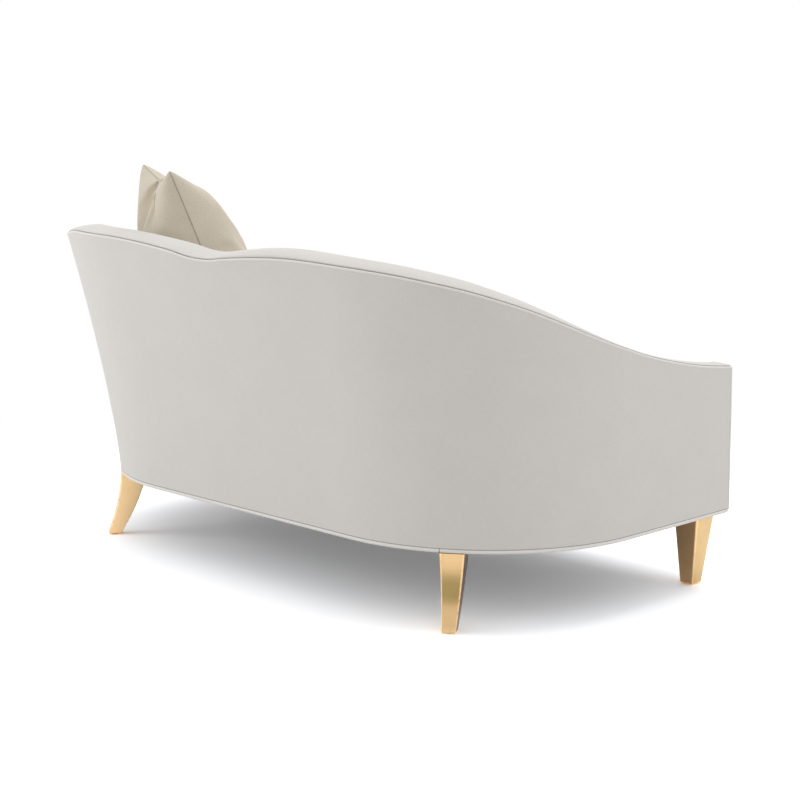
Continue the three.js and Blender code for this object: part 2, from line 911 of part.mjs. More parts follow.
// A cord laid round the cushion's edge, its two ends butted at the middle of the back
function cushionWelt(z) {
  const plan = drawnIn(cushionPlan(), welt.radius);
  const half = Math.round(plan.length / 2);
  const loop = raised([...plan.slice(half), ...plan.slice(0, half)], z);
  const end = loop[0].clone().lerp(loop[loop.length - 1], 1 / 2);
  const start = end.clone().lerp(loop[0], weltButtShare);
  return flatCord([start, ...loop, end], new THREE.Vector3(0, 0, 1));
}

// Knife-edge pillow with a chopped top: places across and up run from -1 to 1
function pillowPoint(across, up, face) {
  const sideDraw = 1 - pillow.sideDrawShare * (1 - up ** 2) * across ** 2;
  const endDraw = 1 - pillow.endDrawShare * (1 - across ** 2) * up ** 2;
  const chop = Math.exp(-((across / pillow.notchWidthShare) ** 2)) * ((1 + up) / 2) ** 3;
  const x = pillow.halfWidth * across * sideDraw;
  const z = pillow.halfHeight * up * endDraw - pillow.notch * chop;
  const swell = Math.max(0, (1 - across ** 2) * (1 - up ** 2)) ** pillow.swellPower;
  const bulge = face > 0 ? pillow.backBulge : pillow.frontBulge;
  return new THREE.Vector3(x, face * (pillow.seamThickness / 2 + bulge * swell), z);
}

function throwPillow() {
  const steps = pillowSteps;
  const row = steps + 1;
  const points = [];
  for (const face of [1, -1]) {
    for (let j = 0; j < row; j++) {
      for (let i = 0; i < row; i++) {
        const ease = (k) => Math.sin(((k / steps) * 2 - 1) * (Math.PI / 2));
        points.push(pillowPoint(ease(i), ease(j), face));
      }
    }
  }
  const triangles = [];
  const backFace = row * row;
  for (let j = 0; j < steps; j++) {
    for (let i = 0; i < steps; i++) {
      const a = j * row + i;
      const b = a + row;
      triangles.push([a, b, b + 1], [a, b + 1, a + 1]);
      const [c, d] = [a + backFace, b + backFace];
      triangles.push([c, d + 1, d], [c, c + 1, d + 1]);
    }
  }
  const rim = [];
  for (let i = 0; i < steps; i++) rim.push(i);
  for (let j = 0; j < steps; j++) rim.push(j * row + steps);
  for (let i = steps; i > 0; i--) rim.push(steps * row + i);
  for (let j = steps; j > 0; j--) rim.push(j * row);
  rim.forEach((a, i) => {
    const b = rim[(i + 1) % rim.length];
    triangles.push([a, b, b + backFace], [a, b + backFace, a + backFace]);
  });
  return closedGeometry(points, triangles);
}

// Assembly

const root = new THREE.Group();
const recamier = new THREE.Group();
root.add(recamier);

function add(name, geometry, material, parent = recamier) {
  const mesh = new THREE.Mesh(geometry, material);
  mesh.name = name;
  parent.add(mesh);
  return mesh;
}

add("outside_cover", outsideCover(), bodyFabric());
add("inside_upholstery", insideUpholstery(), bodyFabric());
add("top_welt", topWelt(), bodyFabric());
add("bottom_welt", bottomWeltCord(), bodyFabric());
add("foot_arm_front_panel", armFrontPanel(-1), bodyFabric());
add("head_arm_front_panel", armFrontPanel(1), bodyFabric());
add("foot_arm_front_welt", armFrontWelt(-1), bodyFabric());
add("head_arm_front_welt", armFrontWelt(1), bodyFabric());
add("front_border", frontBorder(), bodyFabric());
add("seat_deck", seatDeck(), bodyFabric());
add("dust_cover", dustCover(), blackCambric());

const firstRun = coverThickness + touchGap;
const cornerStart = armRun + cornerRun;
add("foot_side_rail", baseRail(firstRun, armRun - touchGap), frameWood());
add("foot_corner_rail", baseRail(armRun, cornerStart - touchGap), frameWood());
add("back_rail", baseRail(cornerStart, cornerStart + backRun - touchGap), frameWood());
add("head_corner_rail", baseRail(cornerStart + backRun, wallRun - armRun), frameWood());
add("head_side_rail", baseRail(wallRun - armRun + touchGap, wallRun - firstRun), frameWood());
add("front_rail", frontRail(), frameWood());
const footCornerRib = armRun + cornerRibShare * cornerRun;
const [footBackRib, middleBackRib, headBackRib] = backRibShares.map(
  (share) => cornerStart + share * backRun,
);
add("foot_arm_post", rib(0), frameWood());
add("foot_corner_rib", rib(footCornerRib), frameWood());
add("back_rib_foot_end", rib(footBackRib), frameWood());
add("back_rib_middle", rib(middleBackRib), frameWood());
add("back_rib_head_end", rib(headBackRib), frameWood());
add("head_corner_rib", rib(wallRun - footCornerRib), frameWood());
add("head_arm_post", rib(wallRun), frameWood());
add("foot_end_top_rail", topRail(firstRun, cornerStart - touchGap), frameWood());
add("back_top_rail", topRail(cornerStart, cornerStart + backRun - touchGap), frameWood());
add("head_end_top_rail", topRail(cornerStart + backRun, wallRun - firstRun), frameWood());

const springSpan = baseWidth - 2 * springSideRoom;
for (let i = 0; i < springCount; i++) {
  const x = springSpan * (i / (springCount - 1) - 1 / 2);
  add(`seat_spring_${i + 1}`, seatSpring(x), hardwareSteel());
}

for (const place of legPlaces) {
  add(`leg_${place.name}`, legBody(place), gildedWood());
  add(`leg_glide_${place.name}`, legGlide(place), glidePlastic());
  add(`corner_block_${place.name}`, legBlock(place), frameWood());
  add(`hanger_bolt_${place.name}`, hangerBolt(place), hardwareSteel());
  add(`bolt_nut_${place.name}`, boltNut(place), hardwareSteel());
}

add("seat_cushion", seatCushion(), bodyFabric());
add("cushion_top_welt", cushionWelt(cushionTop - cushion.edgeRound), bodyFabric());
add("cushion_bottom_welt", cushionWelt(cushionBottom + cushion.edgeRound), bodyFabric());

// The pillow stands on the fall of the cushion's crown and leans back into the head corner
const pillowPose = new THREE.Group();
const seatTop = cushionTop + cushion.crown - pillow.settle;
pillowPose.position.set(
  baseWidth / 2 - pillow.fromHead,
  baseDepth / 2 - pillow.fromBack,
  seatTop + touchGap,
);
pillowPose.rotation.set(-pillow.lean, 0, pillow.turn, "ZXY");
recamier.add(pillowPose);
const pillowMesh = add("throw_pillow", throwPillow(), pillowFabric(), pillowPose);
pillowMesh.position.z = pillow.halfHeight;

// The origin moves to the middle of the finished box, on the floor
root.updateMatrixWorld(true);
const bounds = new THREE.Box3().setFromObject(recamier, true);
const centre = bounds.getCenter(new THREE.Vector3());
recamier.position.set(-centre.x, -centre.y, -bounds.min.z);

export default root;
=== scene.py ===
# Looks for a padded recamier: linen cover and roll, welts, gilded legs, bench cushion and pillow.
import math
from functools import partialmethod

import bpy
import numpy as np
from mathutils import Matrix, Vector


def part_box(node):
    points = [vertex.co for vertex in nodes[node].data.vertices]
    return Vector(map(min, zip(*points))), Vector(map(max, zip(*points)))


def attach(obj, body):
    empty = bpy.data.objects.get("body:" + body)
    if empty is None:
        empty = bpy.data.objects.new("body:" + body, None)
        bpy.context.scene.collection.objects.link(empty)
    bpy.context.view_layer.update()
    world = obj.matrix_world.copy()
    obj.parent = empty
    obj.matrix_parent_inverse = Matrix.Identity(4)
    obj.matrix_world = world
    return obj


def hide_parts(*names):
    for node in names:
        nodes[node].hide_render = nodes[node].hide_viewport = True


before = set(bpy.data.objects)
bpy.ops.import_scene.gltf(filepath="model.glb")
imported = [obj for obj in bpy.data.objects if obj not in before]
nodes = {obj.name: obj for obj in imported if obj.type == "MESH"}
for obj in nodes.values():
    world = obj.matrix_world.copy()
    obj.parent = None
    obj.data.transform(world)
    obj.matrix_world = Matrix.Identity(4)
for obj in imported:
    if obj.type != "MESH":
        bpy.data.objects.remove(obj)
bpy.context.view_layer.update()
scene = bpy.context.scene


def deselect():
    bpy.ops.object.select_all(action="DESELECT")


deselect()
print("frame loaded with", len(nodes), "nodes")


# Shader maths: a socket that adds its own Math nodes
class Signal:
    def __init__(self, finish, socket):
        self.finish = finish
        self.socket = socket

    def math(self, operation, *others):
        return self.finish.add("ShaderNodeMath", {"operation": operation}, [self, *others])

    __add__ = __radd__ = partialmethod(math, "ADD")
    __sub__ = partialmethod(math, "SUBTRACT")
    __mul__ = __rmul__ = partialmethod(math, "MULTIPLY")
    __truediv__ = partialmethod(math, "DIVIDE")
    __pow__ = partialmethod(math, "POWER")

    def clip(self):
        return self.math("MAXIMUM", 0.0).math("MINIMUM", 1.0)


# The node tree of a material or of the world
class NodeTree:
    def __init__(self, owner, output):
        owner.use_nodes = True
        self.tree = owner.node_tree
        self.tree.nodes.clear()
        self.output = self.tree.nodes.new(output)

    def plug(self, entry, value):
        if isinstance(value, Signal):
            self.tree.links.new(value.socket, entry)
        elif entry.type == "RGBA":
            entry.default_value = (*value[:3], 1.0)
        else:
            entry.default_value = value

    # Any node: its settings first, then the values or links of its sockets
    def add(self, kind, settings=None, values=(), output=0):
        node = self.tree.nodes.new(kind)
        for setting, value in (settings or {}).items():
            setattr(node, setting, value)
        entries = values.items() if isinstance(values, dict) else enumerate(values)
        for key, value in entries:
            self.plug(node.inputs[key], value)
        return Signal(self, node.outputs[output])

    def show(self, surface):
        self.tree.links.new(surface.socket, self.output.inputs[0])

    # Whether a ray comes from the camera, from a mirror or through glass
    def seen(self):
        camera, mirror, glass = (self.add("ShaderNodeLightPath", output=k) for k in (0, 3, 6))
        return (camera + mirror + glass).clip()

    def emission(self, strength, kind="Emission"):
        return self.add("ShaderNode" + kind, None, {"Color": (1, 1, 1), "Strength": strength})

    def mix(self, factor, first, second):
        return self.add("ShaderNodeMixShader", None, [factor, first, second])


class Finish(NodeTree):
    def __init__(self, name, color, roughness, **constants):
        self.material = bpy.data.materials.new(name)
        super().__init__(self.material, "ShaderNodeOutputMaterial")
        self.shader = self.tree.nodes.new("ShaderNodeBsdfPrincipled")
        self.tree.links.new(self.shader.outputs[0], self.output.inputs[0])
        self.feed("Base Color", color)
        self.feed("Roughness", roughness)
        for socket, value in constants.items():
            self.feed(socket.replace("_", " "), value)

    def feed(self, socket, value):
        self.plug(self.shader.inputs[socket], value)

    def ownUv(self):
        return self.add("ShaderNodeUVMap", {"uv_map": "UVMap"})

    def place(self):
        return self.add("ShaderNodeTexCoord", output=3)

    def painted(self, attribute):
        return self.add("ShaderNodeAttribute", {"attribute_name": attribute}, output=2)

    def stretched(self, vector, x, y, z=1.0):
        settings = {"operation": "MULTIPLY"}
        return self.add("ShaderNodeVectorMath", settings, [vector, (x, y, z)])

    def noise(self, vector, scale, detail=2.0, rough=0.5, flat=False):
        settings = {"noise_dimensions": "2D" if flat else "3D"}
        values = {"Vector": vector, "Scale": scale, "Detail": detail, "Roughness": rough}
        return self.add("ShaderNodeTexNoise", settings, values)

    def blendColor(self, factor, first, second):
        values = {0: factor, 6: first, 7: second}
        return self.add("ShaderNodeMix", {"data_type": "RGBA"}, values, output=2)

    # One grain of colour, and of roughness where it has one
    def speckle(self, grain, dark, light, roughness=None):
        self.feed("Base Color", self.blendColor(grain, dark, light))
        if roughness:
            gain, base = roughness
            self.feed("Roughness", (grain * gain + base).clip())

    def bump(self, height, distance, strength=1.0):
        values = {"Height": height, "Distance": distance, "Strength": strength}
        self.feed("Normal", self.add("ShaderNodeBump", None, values))


def srgb(red, green, blue):
    return tuple(
        c / 12.92 if c <= 0.04045 else ((c + 0.055) / 1.055) ** 2.4
        for c in (red / 255, green / 255, blue / 255)
    )


# Fabrics, on each piece's own UV map in metres along the cloth
# The seam colour is painted shade: the darkness in the grooves along the seams
linen = {
    "color": srgb(224, 220, 216), "shade": srgb(207, 202, 197), "seamShadeColor": srgb(96, 92, 86),
    "thread": 0.0011, "slub": 0.022, "weave": 1.0, "mottle": 0.25, "relief": 0.0003,
    "seamShadePower": 1.0,
}


# The welts' linen is a lighter copy of the body linen: a painted highlight where the round cords catch
# the light
weltHighlightTones = {"color": srgb(240, 236, 232), "shade": srgb(226, 222, 217)}


def clothFinish(name, look, bias=False):
    cloth = Finish(name, look["color"], 0.86, Sheen_Weight=0.12, Sheen_Roughness=0.45)
    uv = cloth.ownUv()
    if bias:
        uv = cloth.add("ShaderNodeMapping", None, {"Vector": uv, "Rotation": (0, 0, math.pi / 4)})
    along = cloth.noise(cloth.stretched(uv, 1 / look["slub"], 1 / look["thread"]), 1.0, flat=True)
    across = cloth.noise(cloth.stretched(uv, 1 / look["thread"], 1 / look["slub"]), 1.0, flat=True)
    weave = (along + across) * 0.5
    mottle = cloth.noise(uv, 9.0, 3.0, flat=True)
    tone = ((weave - 0.5) * look["weave"] + (mottle - 0.5) * look["mottle"] + 0.35).clip()
    color = cloth.blendColor(tone, look["color"], look["shade"])
    # Painted shade along the seams: the painted seam value darkens the cloth towards the seam colour,
    # in place of the groove's shadow
    seamShade = cloth.painted("seamShade").clip() ** look["seamShadePower"]
    cloth.feed("Base Color", cloth.blendColor(seamShade, color, look["seamShadeColor"]))
    cloth.feed("Roughness", (weave * 0.16 + 0.8).clip())
    cloth.bump(weave, look["relief"], 0.55)
    return cloth.material


bodyLinen = clothFinish("bodyLinen", linen)
highlightedWeltLinen = clothFinish("highlightedWeltLinen", {**linen, **weltHighlightTones}, bias=True)
print("fabrics ready")


# Walls: the plan is a U with two round corners, read from the frame's base and top welt
wall = {
    "cornerRadius": 0.5, "coverInset": 0.0105, "leanPower": 1.35, "footThickness": 0.12,
    "backThickness": 0.155, "footSwell": 0.015, "backSwell": 0.03, "footCrown": 0.005,
    "backCrown": 0.0155,
    "moreCrown": ((1.44, 0.006), (0.6, 0.0035)),
    "crownSpread": 0.14, "armRaise": 0.003, "armTuck": 0.0045, "cornerTuck": 0.0028,
    "rollDrop": 0.085, "fullThicknessShare": 0.7, "pitch": 0.0075,
}
welt = {"radius": 0.003, "inset": 0.0005, "cordInset": 0.0018, "frontInset": 0.0022}
baseWelt = {"radius": 0.00625, "inset": 0.005, "overlap": 0.0036, "splice": 0.0317, "gap": 0.002}

baseLow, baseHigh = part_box("dust_cover")
baseMiddle = (baseLow + baseHigh) / 2
legTop = baseLow.z
baseWidth = baseHigh.x - baseLow.x + 2 * wall["coverInset"]
baseDepth = baseHigh.y - baseLow.y + 2 * wall["coverInset"]
cornerRadius = wall["cornerRadius"]
armRun = baseDepth - cornerRadius
cornerRun = cornerRadius * math.pi / 2
backRun = baseWidth - 2 * cornerRadius
wallRun = 2 * armRun + 2 * cornerRun + backRun
frontY = baseMiddle.y - baseDepth / 2
cornerY = baseMiddle.y + baseDepth / 2 - cornerRadius
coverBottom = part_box("outside_cover")[0].z - baseWelt["overlap"]
deckLow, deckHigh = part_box("seat_deck")


# Plan of the wall's foot and its outward direction, for an array of places along the wall
def planAt(run):
    run = np.asarray(run, float)
    footTurn = np.clip((run - armRun) / cornerRadius, 0, math.pi / 2)
    headTurn = np.clip((wallRun - armRun - run) / cornerRadius, 0, math.pi / 2)
    onFootSide = run < wallRun / 2
    turn = np.where(onFootSide, footTurn, headTurn)
    side = np.where(onFootSide, -1.0, 1.0)
    nx = side * np.cos(turn)
    ny = np.sin(turn)
    reach = baseWidth / 2 - cornerRadius
    past = np.clip(run - armRun - cornerRun, 0, backRun)
    centreX = baseMiddle.x - reach + past
    armBack = np.minimum(run, wallRun - run)
    centreY = cornerY - np.clip(armRun - armBack, 0, None)
    return centreX + nx * cornerRadius, centreY + ny * cornerRadius, nx, ny


# The place along the wall that a point lies beside, and how far out it stands
def runOf(points):
    dx = points[:, 0] - baseMiddle.x
    dy = points[:, 1] - cornerY
    side = np.where(dx < 0, -1.0, 1.0)
    past = np.abs(dx) - (baseWidth / 2 - cornerRadius)
    turn = np.arctan2(np.maximum(dy, 0), np.maximum(past, 0))
    fromFront = np.where(dy < 0, armRun + dy, armRun + turn * cornerRadius)
    run = np.where(side < 0, fromFront, wallRun - fromFront)
    onBack = (dy > 0) & (past <= 0)
    run = np.where(onBack, armRun + cornerRun + dx + backRun / 2, run)
    px, py, nx, ny = planAt(run)
    return run, (points[:, 0] - px) * nx + (points[:, 1] - py) * ny


def mixed(low, high, share):
    return low + (high - low) * share


def unit(vectors):
    return vectors / np.maximum(np.linalg.norm(vectors, axis=-1, keepdims=True), 1e-12)


# A flat outline as points at a height
def raised(flat, z):
    return np.column_stack([flat, np.full(len(flat), z)])


def easeIn(value, low, high):
    t = np.clip((value - low) / (high - low), 0, 1)
    return t * t * (3 - 2 * t)


def meshPoints(name):
    return np.array([vertex.co for vertex in nodes[name].data.vertices], float)


# The top seam: height and outward reach at each step of the frame's top welt
def readTopLine():
    points = meshPoints("top_welt")
    runs, reaches = runOf(points)
    steps = np.unique(np.round(runs, 3))
    steps = steps[np.insert(np.diff(steps) > 0.005, 0, True)]
    heights = []
    outs = []
    for step in steps:
        near = np.abs(runs - step) < 0.003
        heights.append((points[near, 2].min() + points[near, 2].max()) / 2)
        outs.append((reaches[near].min() + reaches[near].max()) / 2 + welt["inset"])
    onFootArm = 1 - easeIn(steps, 0.43, 0.74)
    onHeadCorner = np.exp(-((steps - 2.28) / 0.16) ** 2)
    heights = np.array(heights) + wall["armRaise"] * onFootArm
    outs = np.array(outs) - wall["armTuck"] * onFootArm - wall["cornerTuck"] * onHeadCorner
    return steps, heights, outs


topRuns, topHeights, topReaches = readTopLine()


# A smooth curve through a row of values
def through(places, values, at):
    at = np.clip(np.asarray(at, float), places[0], places[-1])
    i = np.clip(np.searchsorted(places, at, side="right") - 1, 0, len(places) - 2)
    slopes = np.gradient(values, places)
    width = places[i + 1] - places[i]
    t = (at - places[i]) / width
    rise = width * (slopes[i] * t * (1 - t) ** 2 - slopes[i + 1] * t * t * (1 - t))
    return mixed(values[i], values[i + 1], easeIn(t, 0, 1)) + rise


def topHeight(run):
    return through(topRuns, topHeights, run)


def outerReach(run, z):
    rise = topHeight(run) - legTop
    share = np.clip((z - legTop) / rise, 0, None)
    return through(topRuns, topReaches, run) * share ** wall["leanPower"]


def wallPoints(run, inset, z):
    px, py, nx, ny = planAt(run)
    out = outerReach(run, z) - inset
    return np.stack([px + nx * out, py + ny * out, z + 0 * run], axis=-1)


def wallGrid(run, section):
    return np.stack([wallPoints(run, inset, z) for inset, z in section], axis=1)


def fullness(run):
    return easeIn(run, 0, armRun + wall["fullThicknessShare"] * cornerRun)


def innerInset(run, z):
    full = fullness(run)
    thickness = mixed(wall["footThickness"], wall["backThickness"], full)
    swell = mixed(wall["footSwell"], wall["backSwell"], full)
    level = np.maximum(z, deckHigh.z)
    share = (level - deckHigh.z) / (topHeight(run) - wall["rollDrop"] - deckHigh.z)
    inset = thickness + swell * (1 - np.clip(share, 0, 1))
    return inset - (outerReach(run, level) - outerReach(run, z))


# Smooth random waves on a unit lattice, from -1 to 1
def waves(u, v, seed):
    table = np.random.RandomState(seed).uniform(-1, 1, (256, 256))
    iu = np.floor(u).astype(int)
    iv = np.floor(v).astype(int)
    across = easeIn(u - iu, 0, 1)

    def row(k):
        return mixed(table[iu & 255, k & 255], table[(iu + 1) & 255, k & 255], across)
    return mixed(row(iv), row(iv + 1), easeIn(v - iv, 0, 1))


# Normals of a grid of points, columns first
def gridNormals(grid, loopColumns=False, loopRows=True):
    def slope(axis, loop):
        if loop:
            return np.roll(grid, -1, axis) - np.roll(grid, 1, axis)
        return np.gradient(grid, axis=axis)
    return unit(np.cross(slope(0, loopColumns), slope(1, loopRows)))


# Length along a grid's rows, with one more place where a ring closes
def rowLengths(grid):
    closed = np.concatenate([grid, grid[:, :1]], axis=1)
    steps = np.linalg.norm(np.diff(closed, axis=1), axis=2)
    return np.concatenate([np.zeros((len(grid), 1)), np.cumsum(steps, axis=1)], axis=1)


# A skin round the rows of a grid, capped or closed along its columns, with its UV map in metres
def skin(name, grid, u, v, seamShade=None, closed=False):
    columns, rows = grid.shape[:2]
    faces = []
    corners = []
    for i in range(columns if closed else columns - 1):
        k = (i + 1) % columns
        for j in range(rows):
            m = (j + 1) % rows
            faces.append((i * rows + j, k * rows + j, k * rows + m, i * rows + m))
            corners += [(u[i], v[i, j]), (u[i + 1], v[k, j])]
            corners += [(u[i + 1], v[k, j + 1]), (u[i], v[i, j + 1])]
    if not closed:
        faces.append(tuple(reversed(range(rows))))
        corners += [(0.0, v[0, j]) for j in reversed(range(rows))]
        last = (columns - 1) * rows
        faces.append(tuple(range(last, last + rows)))
        corners += [(0.0, v[-1, j]) for j in range(rows)]
    return meshPiece(name, grid.reshape(-1, 3), faces, corners, seamShade)


def meshPiece(name, points, faces, corners, seamShade=None):
    mesh = bpy.data.meshes.new(name)
    mesh.from_pydata(np.asarray(points).tolist(), [], faces)
    layer = mesh.uv_layers.new(name="UVMap")
    layer.data.foreach_set("uv", np.asarray(corners, np.float32).ravel())
    # The seam values are painted shade, darkening the cloth along its seams
    if seamShade is not None:
        paint = mesh.attributes.new("seamShade", "FLOAT", "POINT")
        paint.data.foreach_set("value", np.asarray(seamShade, np.float32).ravel())
    mesh.update()
    piece = bpy.data.objects.new(name, mesh)
    scene.collection.objects.link(piece)
    turnOutward(piece)
    mesh.polygons.foreach_set("use_smooth", [True] * len(mesh.polygons))
    mesh.set_sharp_from_angle(angle=math.radians(50))
    return piece


def turnOutward(piece):
    mesh = piece.data
    mesh.calc_loop_triangles()
    points = np.array([vertex.co for vertex in mesh.vertices])
    corners = np.array([triangle.vertices for triangle in mesh.loop_triangles])
    a, b, c = points[corners[:, 0]], points[corners[:, 1]], points[corners[:, 2]]
    if np.einsum("ij,ij->i", a, np.cross(b, c)).sum() < 0:
        mesh.flip_normals()


# Material, slot, body and the frame's node that a piece stands for
def dress(piece, node, material=bodyLinen, body="frame"):
    piece.data.materials.clear()
    piece.data.materials.append(material)
    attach(piece, body)
    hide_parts(node)


# Curves through key points, given as an array of keys by columns by 2, with steps for each span
def throughKeys(keys, steps):
    keys = np.asarray(keys)
    padded = np.concatenate([2 * keys[:1] - keys[1:2], keys, 2 * keys[-1:] - keys[-2:-1]])
    rows = []
    for span, count in enumerate(steps):
        a, b, c, d = padded[span:span + 4]
        for k in range(count):
            t = k / count
            rows.append(0.5 * (2 * b + (c - a) * t + (2 * a - 5 * b + 4 * c - d) * t * t
                               + (3 * b - a - 3 * c + d) * t ** 3))
    rows.append(keys[-1])
    return np.array(rows)


def columnsBetween(start, end, pitch=wall["pitch"]):
    return np.linspace(start, end, max(2, round((end - start) / pitch) + 1))


# Outside back and arms: one taut cover from the base welt up to the top welt
outside = {
    "frontInset": 0.0062, "thickness": 0.0085, "rows": 56, "lip": 0.0014, "broadRelief": 0.0003,
    "seamRelief": 0.0003, "seamReach": 0.05,
}


def outsideCover():
    run = columnsBetween(outside["frontInset"], wallRun - outside["frontInset"])
    top = topHeight(run)
    low = coverBottom
    lip = outside["lip"]
    deep = outside["thickness"]
    high = top - 0.7 * welt["radius"]
    shares = (1 - np.cos(np.linspace(0, math.pi, outside["rows"]))) / 2
    face = [(0, mixed(low + 2 * lip, high - 1.6 * lip, share)) for share in shares]
    section = [
        (deep, low + 0.6 * lip),
        (3 * lip, low + 0.2 * lip),
        (lip, low + 0.4 * lip),
        (0.3 * lip, low + lip),
        *face,
        (0.1 * lip, high - 0.4 * lip),
        (0.6 * lip, high - 0.05 * lip),
        (3 * lip, high),
        (deep, high),
        (deep, mixed(low, high, 0.66)),
        (deep, mixed(low, high, 0.33)),
    ]
    grid = wallGrid(run, section)
    z = grid[:, :, 2]
    place = run[:, None] + 0 * z
    fromTop = high[:, None] - z
    fromLow = z - low
    pulls = waves(place / 0.028, z / 0.09, 3) * np.exp(-fromTop / outside["seamReach"])
    pulls += waves(place / 0.034, z / 0.08, 5) * np.exp(-fromLow / outside["seamReach"])
    broad = waves(place / 0.31, z / 0.23, 7)
    onFace = easeIn(fromTop, 0, 0.012) * easeIn(fromLow, 0, 0.012)
    relief = (outside["seamRelief"] * pulls + outside["broadRelief"] * broad) * onFace
    grid[:, 4:-6] += (gridNormals(grid) * relief[:, :, None])[:, 4:-6]
    # Painted shade: the cover's lowest rows darken into the groove above the base welt
    seamShade = np.zeros(z.shape)
    seamShade[:, :6] = [1.0, 1.0, 1.0, 1.0, 0.5, 0.1]
    piece = skin("outside_back_cover", grid, np.append(run, run[-1]), rowLengths(grid), seamShade)
    dress(piece, "outside_cover")


outsideCover()
print("outside cover made")


# Inside back, inside arms and the crowned roll above the top welt
inside = {
    "frontInset": 0.0062,
    "crownRows": (2, 2, 2, 3, 5, 5, 5, 5, 4, 4, 3, 3),
    "faceRows": 34, "padThickness": 0.06, "topPad": 0.026, "weltGap": 0.0005,
    "softness": 0.0016,
}
rollShares = (
    (0.06, 0.34, 0),
    (0.2, 0.74, 0),
    (0.38, 0.97, 0),
    (0.52, 1, 0),
    (0.67, 0.92, 0.07),
    (0.81, 0.75, 0.2),
    (0.92, 0.5, 0.42),
    (0.985, 0.2, 0.7),
    (1, 0, 1),
)


def crownAt(run):
    crown = mixed(wall["footCrown"], wall["backCrown"], fullness(run))
    for place, more in wall["moreCrown"]:
        crown = crown + more * np.exp(-((run - place) / wall["crownSpread"]) ** 2)
    return crown


# Keys of the roll as (inset, height), from its tuck behind the top welt to the inner face
def rollKeys(run):
    top = topHeight(run)
    crown = crownAt(run)
    lift = top + welt["radius"]
    thickness = innerInset(run, top - wall["rollDrop"])
    drop = wall["rollDrop"] + welt["radius"]
    keys = [
        (0.0095, top - 0.0010),
        (0.0068, top + 0.0012),
        (0.0054, lift + 0.0006),
        (0.0052, lift + 0.0016 + 0.1 * crown),
    ]
    keys += [(i * thickness, lift + rise * crown - fall * drop) for i, rise, fall in rollShares]
    return keys


def insideUpholstery():
    run = columnsBetween(inside["frontInset"], wallRun - inside["frontInset"])
    top = topHeight(run)
    keys = [np.broadcast_arrays(*key) for key in rollKeys(run)]
    crown = [tuple(row) for row in throughKeys(keys, inside["crownRows"])]
    start = top - wall["rollDrop"]
    low = deckLow.z
    faceHeights = [mixed(start, low, k / inside["faceRows"]) for k in range(1, inside["faceRows"] + 1)]
    face = [(innerInset(run, z), z) for z in faceHeights]
    pad = inside["padThickness"]
    behind = [
        (np.maximum(innerInset(run, z) - pad, wall["coverInset"]), z)
        for z in (low, mixed(low, start, 0.5), start)
    ]
    under = top - inside["topPad"]
    section = [
        *crown,
        *face,
        *behind,
        (wall["coverInset"], under),
        (wall["coverInset"], top - inside["weltGap"]),
    ]
    grid = wallGrid(run, section)
    lengths = rowLengths(grid)
    shown = len(crown) + len(face)
    v = lengths[:, :shown]
    place = run[:, None] + 0 * v
    fromSeam = v
    fromDeck = grid[:, :shown, 2] - low
    puckers = waves(place / 0.021, v / 0.05, 11) * np.exp(-fromSeam / 0.022)
    tucks = waves(place / 0.045, v / 0.16, 13) * np.exp(-fromDeck / 0.09)
    soft = waves(place / 0.19, v / 0.15, 17)
    relief = 0.0006 * puckers + 0.003 * tucks + inside["softness"] * soft
    relief *= easeIn(fromSeam, 0.006, 0.02) * easeIn(fromDeck, 0.0, 0.01)
    grid[:, :shown] += gridNormals(grid)[:, :shown] * -relief[:, :, None]
    # Painted shade: the roll's first rows darken into the groove behind the top welt
    seamShade = np.zeros(grid.shape[:2])
    seamShade[:, :7] = [0.5, 0.5, 0.5, 0.5, 0.4, 0.2, 0.05]
    piece = skin("inside_back_and_roll", grid, np.append(run, run[-1]), lengths, seamShade)
    dress(piece, "inside_upholstery")


insideUpholstery()
print("inside upholstery made")


# A welt: a round cord swept along a path, its UV map in metres along and round it
def sweep(name, path, radius, sides=12, loop=False, normal=(0, 0, 1)):
    path = np.asarray(path, float)
    if loop:
        tangent = np.roll(path, -1, 0) - np.roll(path, 1, 0)
    else:
        tangent = np.gradient(path, axis=0)
    tangent = unit(tangent)
    side = unit(np.cross(normal, tangent))
    up = np.cross(tangent, side)
    turn = np.arange(sides) / sides * 2 * math.pi
    ring = np.cos(turn)[None, :, None] * side[:, None] + np.sin(turn)[None, :, None] * up[:, None]
    grid = path[:, None] + radius * ring
    steps = np.linalg.norm(np.diff(path, axis=0), axis=1)
    along = np.concatenate([[0], np.cumsum(steps)])
    along = np.append(along, along[-1] + np.linalg.norm(path[0] - path[-1]))
    around = np.tile(np.arange(sides + 1) / sides * 2 * math.pi * radius, (len(path), 1))
    return skin(name, grid, along, around, closed=loop)


def topWelt():
    run = columnsBetween(0.004, wallRun - 0.004, 0.006)
    path = wallPoints(run, welt["cordInset"], topHeight(run))
    piece = sweep("top_welt_cord", path, welt["radius"])
    dress(piece, "top_welt", material=highlightedWeltLinen)


# The base welt's plan: a loop just inside the wall's foot and straight across the front
def baseLoop(inset, pitch=0.006, corner=0.009):
    run = columnsBetween(corner, wallRun - corner, pitch)
    px, py, nx, ny = planAt(run)
    rear = np.stack([px - nx * inset, py - ny * inset], axis=1)
    left = rear[0, 0]
    right = rear[-1, 0]
    y = frontY + inset
    turns = np.linspace(0, math.pi / 2, 7)[1:]
    radius = corner - inset
    headTurn = [(right - radius + radius * math.cos(t), y + radius - radius * math.sin(t))
                for t in turns]
    straight = np.arange(right - radius - pitch, left + radius, -pitch)
    front = [(x, y) for x in straight]
    footTurn = [(left + radius - radius * math.sin(t), y + radius - radius * math.cos(t))
                for t in turns]
    return np.array([*rear, *headTurn, *front, *footTurn[:-1]])


def sabrePlace(side):
    low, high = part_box(f"leg_glide_rear_{'foot' if side < 0 else 'head'}_end")
    return np.array([[(low.x + high.x) / 2, (low.y + high.y) / 2, 0.0]])


